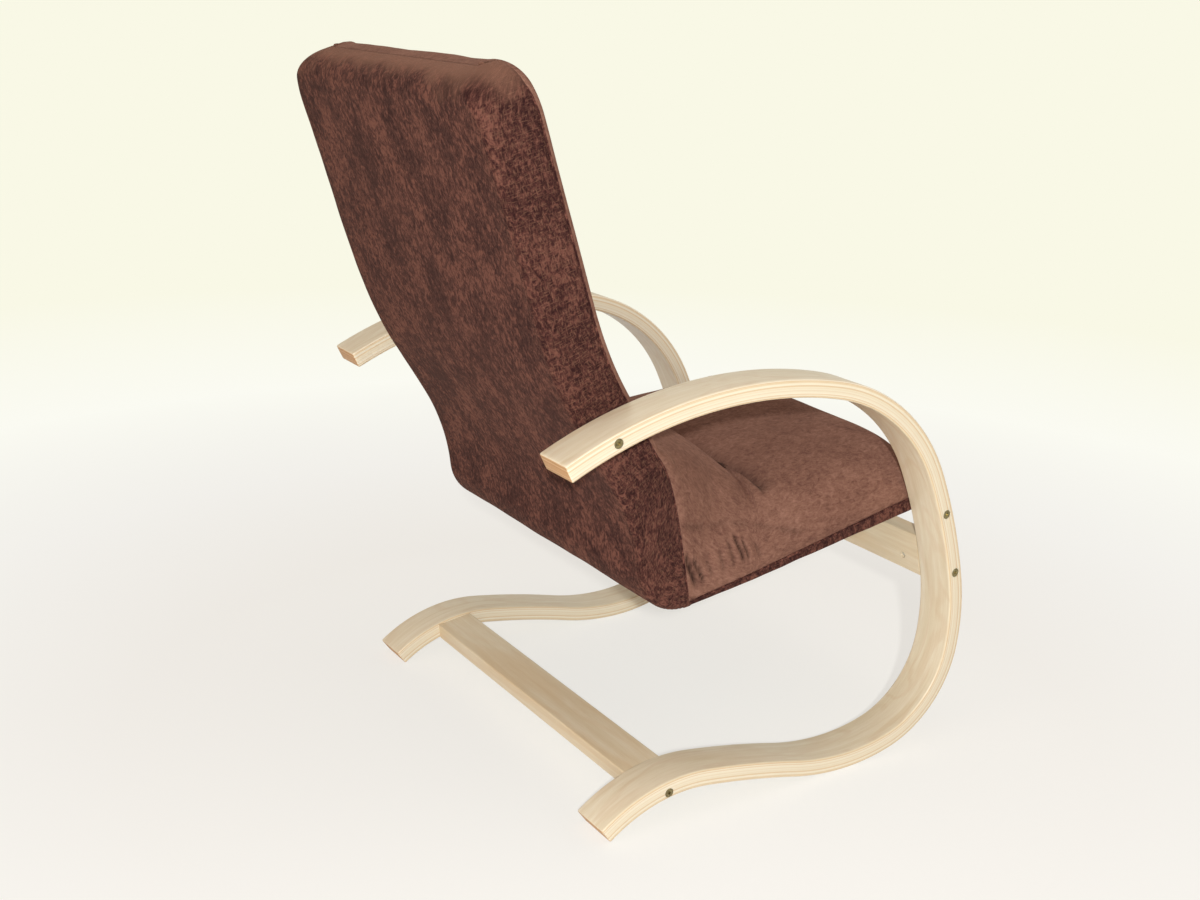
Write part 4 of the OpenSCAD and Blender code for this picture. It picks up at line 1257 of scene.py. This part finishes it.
def puffed(grid, normals, held):
    """The cover swollen by its padding: cloth simulated on a coarse copy that starts a
    little smaller and is held at its seams; the grid takes over the moves."""
    # Clear of the borders, where rows and columns crowd
    run = running(grid, 0)[:, grid.shape[1] // 2]
    rows = [int(np.searchsorted(run, puff_rim))]
    for i in range(rows[0], len(grid)):
        if run[i] - run[rows[-1]] >= puff_step and run[-1] - run[i] >= puff_rim:
            rows.append(i)
    cols = np.arange(puff_margin, grid.shape[1] - puff_margin, puff_stride)
    smaller = grid - normals * (1 - held)[..., None] * puff_shrink
    start = smaller[np.ix_(rows, cols)]
    outward = normals[np.ix_(rows, cols)]
    quads, _ = grid_faces(start, outward)
    piece = mesh_object("cover_to_puff", start.reshape(-1, 3), quads, chenille_light)
    seams = piece.vertex_groups.new(name="held")
    tight = held[np.ix_(rows, cols)] > 0.5
    tight[[0, -1]], tight[:, [0, -1]] = True, True
    tight = np.flatnonzero(tight.ravel())
    seams.add([int(i) for i in tight], 1.0, "REPLACE")
    padding = piece.modifiers.new("padding", "CLOTH")
    padding.settings.use_pressure = True
    padding.settings.uniform_pressure_force = puff_pressure
    padding.settings.effector_weights.gravity = 0
    padding.settings.air_damping = puff_damping
    padding.settings.vertex_group_mass = "held"
    padding.point_cache.frame_start, padding.point_cache.frame_end = 1, puff_frames
    first = bpy.context.scene.frame_current
    for number in range(1, puff_frames + 1):
        bpy.context.scene.frame_set(number)
    piece = settled(piece)
    moved = points_of(piece).reshape(start.shape) - start
    # Only the way out of the chair counts, so that nothing sinks into the foam
    moved = outward * np.maximum((moved * outward).sum(2, keepdims=True), 0)
    bpy.data.objects.remove(piece)
    bpy.context.scene.frame_set(first)
    length = np.linalg.norm(moved, axis=2, keepdims=True)
    moved *= puff_cap * np.tanh(length / puff_cap) / np.maximum(length, 1e-9)
    every_row, every_col = np.arange(len(grid)), np.arange(grid.shape[1])
    tall = np.array(
        [[np.interp(every_row, rows, m) for m in col.T] for col in moved.swapaxes(0, 1)]
    )
    wide = np.array(
        [[np.interp(every_col, cols, m) for m in row.T] for row in tall.transpose(2, 0, 1)]
    )
    return smaller + wide.transpose(0, 2, 1)


def eased(grid, reach, share):
    """A grid smoothed along its columns over a reach in metres, by a share at each point."""
    run, made = running(grid, 0), grid.copy()
    for i in range(grid.shape[1]):
        gap = run[:, i, None] - run[None, :, i]
        weight = np.exp(-((gap / reach) ** 2)) * np.gradient(run[:, i])
        weight /= weight.sum(1, keepdims=True)
        made[:, i] += (weight @ grid[:, i] - grid[:, i]) * share[:, i, None]
    return made


def aside(points):
    """Distance from the middle plane in millimetres."""
    return np.abs(points[..., 0]) / MM


def swells(points, *layers):
    """Noise in layers of [size in metres, height in millimetres, seed]."""
    return sum(waves(points, size, seed) * height for size, height, seed in layers)


cloth_step, front_columns = 6.0, 151
top_clear, top_full = 12 * MM, 40 * MM
seam_sink, top_sink, band_sink, seam_reach = 2.3 * MM, 0.6 * MM, 1.6 * MM, 4.0 * MM

# Front cover: seat and back in one, drawn in at the crease
front_list = front_rows(cloth_step)
front = from_shell(np.array([front_line(row, front_columns) for row in front_list]))
crease_row = next(i for i, row in enumerate(front_list) if row[6] == 0)
from_crease = np.abs(running(front, 0) - running(front, 0)[crease_row])
to_side, _ = to_border(front)
# The crease ends before the sides, where one smooth side runs from the seat to the back
flank_from, flank_full, flank_rim, flank_reach, flank_near, flank_far = 216, 244, 25, 28, 60, 130
one_side = smooth_step(aside(front), flank_from, flank_full)
one_side = one_side * smooth_step(to_side / MM, 0, flank_rim)
near_crease = 1 - smooth_step(from_crease / MM, flank_near, flank_far)
front = eased(front, flank_reach * MM, one_side * near_crease)
# Held at the seams and along the crease, the padding swells it between them
hold_to, hold_none, crease_hold_none, hold_fade = 14, 38, 44, 18
past = running(front, 0) - running(front, 0)[crease_row] + crease_forward(aside(front)) * MM
at_crease = 1 - smooth_step(aside(front), crease_half - hold_fade, crease_half)
to_side, to_end = to_border(front)
held = 1 - smooth_step(np.minimum(to_side, to_end) / MM, hold_to, hold_none)
held_crease = at_crease * (1 - smooth_step(np.abs(past) / MM, hold_to, crease_hold_none))
held = np.maximum(held, held_crease)
front = puffed(front, grid_normals(front, (0, -1, 1)), held)
across, along = running(front, 1), running(front, 0)
across -= across[:, -1:] / 2
middle_run = np.repeat(along[:, front_columns // 2][:, None], front_columns, 1)
front_place = np.stack([across, middle_run, np.zeros_like(across)], 2)
front_normals = grid_normals(front, (0, -1, 1))
to_side, _ = to_border(front)
to_top = along[-1:] - along
to_seam = np.minimum(to_side, along)

# Folds beside the seat's rear corner, in the side view: from upper to lower end
# [Y, Z, Y, Z, width, depth] in millimetres
corner_folds = (
    (70, 337, 47, 285, 3.0, 7.0),
    (57, 328, 34, 289, 2.8, 6.0),
    (31, 320, 22, 296, 2.8, 2.8),
    (12, 331, 4, 298, 2.8, 2.5),
    (-4, 343, -12, 303, 2.8, 3.0),
    (-14, 346, -29, 305, 2.6, 5.0),
    (-26, 338, -36, 307, 2.6, 4.2),
    (-47, 330, -55, 308, 3.0, 2.4),
)
# The painted shade along a fold is full from this fold depth in millimetres
fold_shade_full_d, bulge_off, bulge_share = 5.5, 2.2, 0.3
# A faint crest runs forward over the folds, from the side seam, with a swell above it
crest_line = ((78, 375), (26, 363), (-13, 360), (-48, 351), (-81, 344), (-128, 331))
crest_w, crest_d, crest_shade, swell_up, swell_w, swell_h = 3.6, 1.6, 0.3, 10, 7.0, 0.9


def groove(points, start, stop, width):
    """1 on a line in the side view and less beside it, faded at both of its ends."""
    a, b = np.array(start, float), np.array(stop, float)
    along_it = b - a
    t = ((points - a) @ along_it) / (along_it @ along_it)
    near = a + np.clip(t, 0, 1)[..., None] * along_it
    off = np.linalg.norm(points - near, axis=-1) / width
    return np.exp(-(off**2)) * smooth_step(t, -0.15, 0.25) * (1 - smooth_step(t, 0.7, 1.05))


in_view = front[..., 1:] / MM
fold_waver = 3.0
wander = waves(front, 0.03, 11)[..., None] * fold_waver
side_from, side_full = shell_half - 45, shell_half - 6
on_side = smooth_step(aside(front), side_from, side_full)
pinched, painted_fold_shade = np.zeros(front.shape[:2]), np.zeros(front.shape[:2])
for y0, z0, y1, z1, width, depth in corner_folds:
    line = groove(in_view + wander, (y0, z0), (y1, z1), width)
    pinched -= depth * line
    # Painted shade along each fold, stronger for the deeper ones
    painted_fold_shade = np.maximum(painted_fold_shade, min(depth / fold_shade_full_d, 1.0) ** 1.4 * line**1.5)
    # The cloth pushed aside stands up as a low bulge beside the fold
    beside = width * bulge_off
    bulge = groove(in_view + wander, (y0 - beside, z0), (y1 - beside, z1), beside)
    pinched += bulge_share * depth * bulge
for start, stop in zip(crest_line, crest_line[1:]):
    line = groove(in_view + wander * 0.6, start, stop, crest_w)
    pinched -= crest_d * line
    # Painted shade along the crest
    painted_fold_shade = np.maximum(painted_fold_shade, crest_shade * line)
    above = [(y, z + swell_up) for y, z in (start, stop)]
    pinched += swell_h * groove(in_view + wander * 0.6, *above, swell_w)
painted_fold_shade *= on_side
# Painted shade along the crease: dark at its bottom, and on its shadowed side a little way up
crease_bottom_shade, bottom_w, crease_bank_shade, bank_w = 0.9, 3.2, 0.5, 21
painted_fold_shade = np.maximum(painted_fold_shade, crease_bottom_shade * at_crease * np.exp(-((past / (bottom_w * MM)) ** 2)))
bank_shade = crease_bank_shade * at_crease * (past < 0) * np.exp(-((past / (bank_w * MM)) ** 2))
painted_fold_shade = np.maximum(painted_fold_shade, bank_shade)
nap = np.stack([painted_fold_shade, np.zeros_like(painted_fold_shade), np.zeros_like(painted_fold_shade)], 2)
# Fine puckers stand along the side seam, below this height
pucker_h, pucker_l, pucker_reach, pucker_top, pucker_fade = 0.8, 0.012, 0.03, 0.42, 0.05
puckers = waves(front * np.array([0.3, 1.0, 0.3]), pucker_l, 3)
puckers = puckers * np.exp(-((to_side / pucker_reach) ** 2))
puckers *= smooth_step(pucker_top - front[..., 2], 0.0, pucker_fade) * pucker_h
soft = swells(front, (0.12, 1.8, 1), (0.045, 0.7, 2))
front_calm, front_sink, rim_fade = 0.04, 0.6, 6 * MM
soft *= np.clip(to_seam / front_calm, 0, 1)
moved = (pinched + puckers) * on_side + soft - front_sink
moved *= smooth_step(np.minimum(to_seam, to_top), 0, rim_fade) * MM
below_top = smooth_step(to_top, top_clear, top_full)
moved -= seam_sink * below_top * np.exp(-((to_seam / seam_reach) ** 2))
moved -= top_sink * np.exp(-((to_top / seam_reach) ** 2))
front_skin = front + front_normals * moved[..., None]
front_cover = cloth_grid(
    "front_cover_cloth", front_skin, front_normals, front_place, chenille_light, nap
)

# Rear cover: one panel round the rear and both sides of the back
rear = from_shell(np.array([rear_line(row) for row in rear_rows(cloth_step)]))
across, along = running(rear, 1), running(rear, 0)
across -= across[:, -1:] / 2
middle_run = np.repeat(along[:, rear.shape[1] // 2][:, None], rear.shape[1], 1)
# Painted shade of raking light on the sides of the back
raking_shade = smooth_step(np.abs(across), (shell_half - 45) * MM, (shell_half + 20) * MM)
rear_place = np.stack([across, middle_run, raking_shade], 2)
rear_normals = grid_normals(rear, (0, 1, 0))
to_side, _ = to_border(rear)
to_top = along[-1:] - along
rear_calm, rear_sink = 0.03, 0.5
moved = swells(rear, (0.12, 1.3, 7), (0.035, 0.4, 8)) - rear_sink
to_edge = np.minimum(np.minimum(to_side, along), to_top)
moved *= np.clip(to_edge / rear_calm, 0, 1) * MM
below_top = smooth_step(to_top, top_clear, top_full)
moved -= seam_sink * below_top * np.exp(-((to_side / seam_reach) ** 2))
moved -= top_sink * np.exp(-((to_top / seam_reach) ** 2))
rear_skin = rear + rear_normals * moved[..., None]
# Painted highlight over the top roll, most towards its corners
highlight_reach, highlight_more, highlight_wide_from, highlight_wide_to, highlight_waver, highlight_share = 34, 30, 90, 200, 0.35, 0.7
reach = highlight_reach + highlight_more * smooth_step(aside(rear), highlight_wide_from, highlight_wide_to)
reach = reach * (1 + highlight_waver * waves(rear, 0.03, 9))
top_highlight = highlight_share * (1 - smooth_step(to_top / MM, 0.45 * reach, 1.35 * reach))
nap = np.stack([np.zeros_like(top_highlight), top_highlight, np.zeros_like(top_highlight)], 2)
rear_cover = cloth_grid(
    "rear_cover_cloth", rear_skin, rear_normals, rear_place, chenille_dark, nap
)

# Seat band: a strip of the dark cloth round the seat's edge, hemmed under it
seam_line = np.array(
    [row[0] + row[1] * (row[3] - fit_play) for row in seat_rows(cloth_step, 0.0)]
    + [
        s[0] + s[1] * (s[3] - fit_play)
        for s in (fan_station(t) for t in np.linspace(0, lead_share, 30))
    ]
)


def band_path(step):
    """Places round the seat seen from above, with the way out: [along, across, out, out]."""
    straight = np.linspace(-fit_play, nose_corner_r - seat_len, math.ceil(seat_len / step))
    half, r = shell_half, nose_corner_r
    near = [(s, -half, 0.0, -1.0) for s in straight]
    for a in np.linspace(0, math.pi / 2, 10)[1:]:
        out = (-math.sin(a), -math.cos(a))
        near.append((r - seat_len + r * out[0], r - half + r * out[1], *out))
    front_edge = np.linspace(r - half, 0, math.ceil(half / step))[1:]
    near += [(-seat_len, v, -1.0, 0.0) for v in front_edge]
    far = [(s, -v, out_s, -out_v) for s, v, out_s, out_v in near[-2::-1]]
    return near + far


band_hem, front_edge_r, corner_edge_r, band_raking_shade = 20, 4, 9, 0.6
band_grid = []
for s, v, out_s, out_v in band_path(cloth_step):
    top = np.interp(s, seam_line[:, 0], seam_line[:, 1]) + member_depth
    # Its lower edge widens into the rear cover's at the corner
    band_edge_r = front_edge_r + (corner_edge_r - front_edge_r) * smooth_step(s, -110, -10)
    section = [(-n, 0.0) for n in np.linspace(band_hem, band_edge_r, 6)]
    section += [
        (band_edge_r * (math.sin(a) - 1), band_edge_r * (1 - math.cos(a)))
        for a in np.linspace(0, math.pi / 2, 7)[1:]
    ]
    section += [(0.0, h) for h in np.linspace(band_edge_r, top, 9)[1:]]
    band_grid.append(
        [(s + out_s * n, h - member_depth, v + out_v * n) for n, h in section]
    )
band = from_shell(np.array(band_grid))
# The band takes the painted side shade too
band_place = [running(band, 0), running(band, 1), np.full(band.shape[:2], band_raking_shade)]
band_place = np.stack(band_place, 2)
band_normals = grid_normals(band, (0, -1, 0))
to_side, to_end = to_border(band)
to_top = running(band, 1)[:, -1:] - running(band, 1)
band_swell, band_mean_sink, band_calm, band_full = 0.7, 0.8, 8 * MM, 18 * MM
moved = waves(band, 0.03, 21) * band_swell - band_mean_sink
moved = moved * smooth_step(running(band, 1), band_calm, band_full) * MM
moved -= band_sink * np.exp(-((to_top / seam_reach) ** 2))
band_skin = band + band_normals * moved[..., None]
seat_band = cloth_grid("seat_band_cloth", band_skin, band_normals, band_place, chenille_dark)

# Sewn rolls along the seams, sunk to half of their thickness; over the top the seam lies flat
past_nose, roll_stop, start_rows, stop_rows = 20, 20, 9, 8
seam_from = next(i for i, row in enumerate(front_list) if row[0][0] > 0 and i > past_nose)
seam_to = next(
    i for i, row in enumerate(front_list) if i > seam_from and row[5] < shell_half - roll_stop
)
roll_sink, run_out_sink = 1.6, 2.6
sunk = front - front_normals * roll_sink * MM
# Their ends run out into the cloth
number = np.arange(len(front))
run_out = smooth_step(number, seam_to - stop_rows, seam_to) * (number >= seam_from)
run_out += (1 - smooth_step(np.abs(number - seam_from), 0, start_rows)) * (number < seam_to)
sunk -= front_normals * run_out[:, None, None] * run_out_sink * MM
seat_seam = np.concatenate([sunk[seam_from:0:-1, 0], sunk[0], sunk[1:seam_from, -1]])
back_seams = [sunk[seam_from:seam_to, i] for i in (0, -1)]
for name, points, radius in (
    ("seat_seam_roll", seat_seam, 1.6),
    ("back_seam_roll_right", back_seams[0], 1.3),
    ("back_seam_roll_left", back_seams[1], 1.3),
):
    roll = run_tree(
        line_object(name, points), roll_tree(), Roll_radius=radius * MM, Cloth=chenille_dark
    )
    roll.name = name + "_sewn"
    store(roll, "cloth", points_of(roll)[:, [1, 2, 0]])
    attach(roll, "root")

for piece, node, slot in (
    (front_cover, "front_cover", "chenille_light"),
    (rear_cover, "rear_cover", "chenille_dark"),
    (seat_band, "seat_band", "chenille_dark"),
):
    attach(piece, "root")
    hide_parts(node)

# Foam under the covers: crowned in front, flat on the webbing, clear of the folds
foam_skin, fold_tuck, foam_columns, foam_under = cover_t + 6.5, 4.0, 61, 21
foam_rear = member_depth + member_t / 2 + strap_t + 4 * fit_play


def foam_ring(row, flat_normal):
    """Ring of points round the foam at a row."""
    b, e, _, _, _, half, _ = row
    lean = max(e @ flat_normal, 0.5)
    n = foam_rear / lean**2
    line = front_line(row, foam_columns)
    height = (line[:, :2] - b) @ e
    lowest = n + fit_play * (1 + np.sin(np.linspace(0, math.pi, len(line))))
    height = np.maximum(height, lowest)
    ring = np.column_stack([b + height[:, None] * e, line[:, 2]])
    under = [[*(b + e * n), v] for v in np.linspace(half, -half, foam_under)]
    return np.vstack([ring, under])


def foam_pad(name, rings):
    """A closed pad lofted through rings of points."""
    grid = from_shell(np.array(rings))
    # Tucked in behind the folds of the corner, off the middle, along Y and up, in millimetres
    x, y, z = np.moveaxis(grid, 2, 0) / MM
    tuck = smooth_step(np.abs(x), 200, 240) * smooth_step(y, -85, -60) * smooth_step(-y, -100, -80)
    tuck *= smooth_step(z, 262, 278) * smooth_step(-z, -370, -350)
    grid[..., 0] -= np.sign(x) * tuck * fold_tuck * MM
    rows, cols = grid.shape[:2]
    index = np.arange(rows * cols).reshape(rows, cols)
    turned = np.roll(index, -1, axis=1)
    quads = np.stack([index[:-1], index[1:], turned[1:], turned[:-1]], -1).reshape(-1, 4)
    faces = quads.tolist() + [index[0].tolist(), index[-1][::-1].tolist()]
    piece = mesh_object(name, grid.reshape(-1, 3), faces, foam)
    work = bmesh.new()
    work.from_mesh(piece.data)
    bmesh.ops.recalc_face_normals(work, faces=work.faces)
    work.to_mesh(piece.data)
    work.free()
    piece.data.set_sharp_from_angle(angle=math.radians(cut_angle))
    return piece


def fan_ring(t):
    """Ring of the foam at a station of the fan."""
    place = fan_place(t)
    ahead = rear_point(place + fit_play) - rear_point(place - fit_play)
    row = plain_row(fan_station(t), foam_skin, gone=0.0 if t == 0 else no_crease)
    return foam_ring(row, left_of(math.atan2(ahead[1], ahead[0])))


split_at, split_gap, foam_step, fan_rings, cut_angle = 0.5, 0.002, 12.0, 12, 50
seat_rings = [foam_ring(r, left_of(0.0)) for r in seat_rows(foam_step, foam_skin)]
seat_rings += [fan_ring(t) for t in np.linspace(0, split_at - split_gap, fan_rings)]
back_rings = [fan_ring(t) for t in np.linspace(split_at + split_gap, 1, fan_rings)]
back_rings += [foam_ring(r, r[1]) for r in back_rows(foam_step, foam_skin)]
for node, rings in (("seat_foam", seat_rings), ("back_foam", back_rings)):
    pad = foam_pad(node + "_pad", rings)
    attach(pad, "root")
    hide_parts(node)

# Webbing: straps across the members, on their side towards the sitter
strap_lift, strap_pieces, strap_edge_r = member_t / 2 + strap_t / 2 + fit_play, 8, 0.4
strap_path = Outline(
    (nose_corner_r - seat_len, strap_lift),
    0,
    [
        (seat_len - nose_corner_r, 0),
        (corner_r - member_depth - strap_lift, corner_turn),
        (lumbar_r + member_depth + strap_lift, -lumbar_turn),
        (waist_l, 0),
        (shoulder_r - member_depth - strap_lift, shoulder_turn),
        (upper_back_l - top_corner_r, 0),
    ],
)
for node, numbers in (("seat_webbing", (0,)), ("back_webbing", (2, 3, 4, 5))):
    points, edges = [], []
    for number in numbers:
        begin, run = strap_path.start_of(number), strap_path.runs[number][2]
        count = max(1, math.floor((run + strap_gap) / (strap_w + strap_gap)))
        first = (run - count * (strap_w + strap_gap) + strap_gap) / 2
        for i in range(count):
            for k in range(strap_pieces + 1):
                at = begin + first + i * (strap_w + strap_gap) + strap_w * k / strap_pieces
                if k:
                    edges.append((len(points) - 1, len(points)))
                points.append([*strap_path.at(at)[0], 0.0])
    straps = run_tree(
        line_object(node, from_shell(points), edges),
        strip_tree(),
        Strip_width=(2 * member_half - strap_t) * MM,
        Strip_thickness=strap_t * MM,
        Edge_radius=strap_edge_r * MM,
        Edge_steps=2,
        Finish=webbing,
    )
    straps.name = node + "_straps"
    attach(straps, "root")
    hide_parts(node)

# Dust cloth: a sheet stretched under the seat, inside the band's hem
hem_half = shell_half - band_hem / 2
cloth_from = cover_t + band_hem / 2 - seat_len
dust_rows, dust_columns, dust_rise, dust_swell = 50, 64, 1.1, 0.5
dust_s, dust_v = np.meshgrid(
    np.linspace(cloth_from, -fit_play, dust_rows),
    np.linspace(-hem_half, hem_half, dust_columns),
    indexing="ij",
)
rim = np.minimum(np.minimum(dust_s - cloth_from, -fit_play - dust_s), hem_half - np.abs(dust_v))
dust_h = cover_t + fit_play / 2 - member_depth - dust_rise * smooth_step(rim, 12, 120)
dust = from_shell(np.stack([dust_s, dust_h, dust_v], 2))
dust[..., 2] += waves(dust, 0.05, 31) * dust_swell * MM * smooth_step(rim, 12, 60)
dust_sheet = cloth_grid(
    "underside_cloth_sheet",
    dust,
    grid_normals(dust, (0, 0, -1)),
    dust,
    dust_cloth,
    thick=(wadding_t - fit_play) * MM,
)
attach(dust_sheet, "root")
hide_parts("underside_cloth")

# Finishes of the solids that stay
finishes = {
    board: ("front_rail", "rear_rail"),
    zinc: ("front_rail_nuts", "rear_rail_nuts", "arm_inserts", "seat_inserts", "cross_rail_screws"),
    dowel_wood: ("front_rail_dowels", "rear_rail_dowels"),
    frame_wood: (
        "shell_side_left",
        "shell_side_right",
        "top_cross_rail",
        "lumbar_cross_rail",
        "seat_rear_cross_rail",
        "seat_front_cross_rail",
    ),
}
for used, nodes in finishes.items():
    for name in nodes:
        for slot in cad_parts[name].material_slots:
            slot.material = used


# Floor, light and camera


def studio():
    """Matt paper, pale to the camera, which keeps a soft shadow under the chair."""
    made, put = new_material("studio_paper_matt")
    place = put("ShaderNodeTexCoord").outputs["Object"]
    far = put("ShaderNodeVectorMath", {0: place}, operation="LENGTH").outputs["Value"]
    tone = put("ShaderNodeMapRange", {"Value": far, "From Min": 1.2, "From Max": 3.2})
    paper = put("ShaderNodeValToRGB", {0: tone}, ((0.0, "#FCFCF8"), (1.0, "#F9F8E6")))
    lit = put("ShaderNodeBsdfDiffuse", {"Color": paper})
    pale = put("ShaderNodeEmission", {"Color": paper, "Strength": 1.0})
    # The paper shows its own shade near the chair and an even tone farther out
    path = put("ShaderNodeLightPath")
    seen = put(
        "ShaderNodeMath",
        {0: path.outputs["Is Camera Ray"], 1: path.outputs["Is Glossy Ray"]},
        operation="MAXIMUM",
    )
    even = put(
        "ShaderNodeMapRange",
        {"Value": far, "From Min": 0.7, "From Max": 1.9, "To Min": 0.62, "To Max": 1.0},
    )
    share = put("ShaderNodeMath", {0: seen, 1: even}, operation="MULTIPLY")
    mixed = put("ShaderNodeMixShader", {0: share, 1: lit, 2: pale})
    put("ShaderNodeOutputMaterial", {0: mixed})
    size = 60.0
    floor = mesh_object(
        "studio_floor",
        [(-size, -size, 0), (size, -size, 0), (size, size, 0), (-size, size, 0)],
        [(0, 1, 2, 3)],
        made,
    )
    world = bpy.data.worlds.new("studio_air")
    bpy.context.scene.world = world
    world.use_nodes = True
    world.node_tree.nodes.clear()
    put = functools.partial(add, world.node_tree)
    path = put("ShaderNodeLightPath")
    seen = put(
        "ShaderNodeMath",
        {0: path.outputs["Is Camera Ray"], 1: path.outputs["Is Glossy Ray"]},
        operation="MAXIMUM",
    )
    air = put("ShaderNodeBackground", {"Color": colour("#FFE4CF"), "Strength": 0.37})
    pale = put("ShaderNodeBackground", {"Color": colour("#F9F8E6"), "Strength": 1.0})
    mixed = put("ShaderNodeMixShader", {0: seen, 1: air, 2: pale})
    put("ShaderNodeOutputWorld", {0: mixed})


def lamp(name, place, target, power, size, tone):
    """A square lamp that looks at a target."""
    data = bpy.data.lights.new(name, "AREA")
    data.energy, data.size, data.color = power, size, colour(tone)[:3]
    made = linked(name, data)
    made.location = place
    made.rotation_euler = (Vector(target) - Vector(place)).to_track_quat("-Z", "Y").to_euler()


studio()
lamp("key_softbox", (-2.48, 1.61, 1.46), (0, 0, 0.45), 75, 0.08, "#FDFCFA")
lamp("rear_softbox", (-0.9, 3.4, 1.3), (0, 0, 0.5), 11, 1.8, "#FFE9D2")
lamp("top_softbox", (-0.2, 0.1, 3.2), (0, 0, 0.4), 6, 1.6, "#FFFFFF")
lamp("front_softbox", (-0.6, -3.2, 1.8), (0, 0, 0.5), 13, 1.6, "#FFFFFF")

# Camera at the photograph's viewing angle
yaw, pitch, roll = math.radians(122.865), math.radians(17.175), math.radians(-1.848)
focal_share, frame_w = 1515.166 / 1200, 36.0
camera_at = (-1.69785, 1.129826, 1.02041)
ahead = Vector((math.sin(yaw) * math.cos(pitch), math.cos(yaw) * math.cos(pitch), -math.sin(pitch)))
right = Vector((math.cos(yaw), -math.sin(yaw), 0))
down = ahead.cross(right)
right_rolled = right * math.cos(roll) + down * math.sin(roll)
down_rolled = down * math.cos(roll) - right * math.sin(roll)
camera_data = bpy.data.cameras.new("camera")
camera_data.sensor_width, camera_data.lens = frame_w, focal_share * frame_w
camera = linked("camera", camera_data)
turn = Matrix((right_rolled, -down_rolled, -ahead)).transposed()
camera.matrix_world = Matrix.Translation(camera_at) @ turn.to_4x4()
bpy.context.scene.camera = camera
bpy.context.scene.view_settings.view_transform = "Standard"
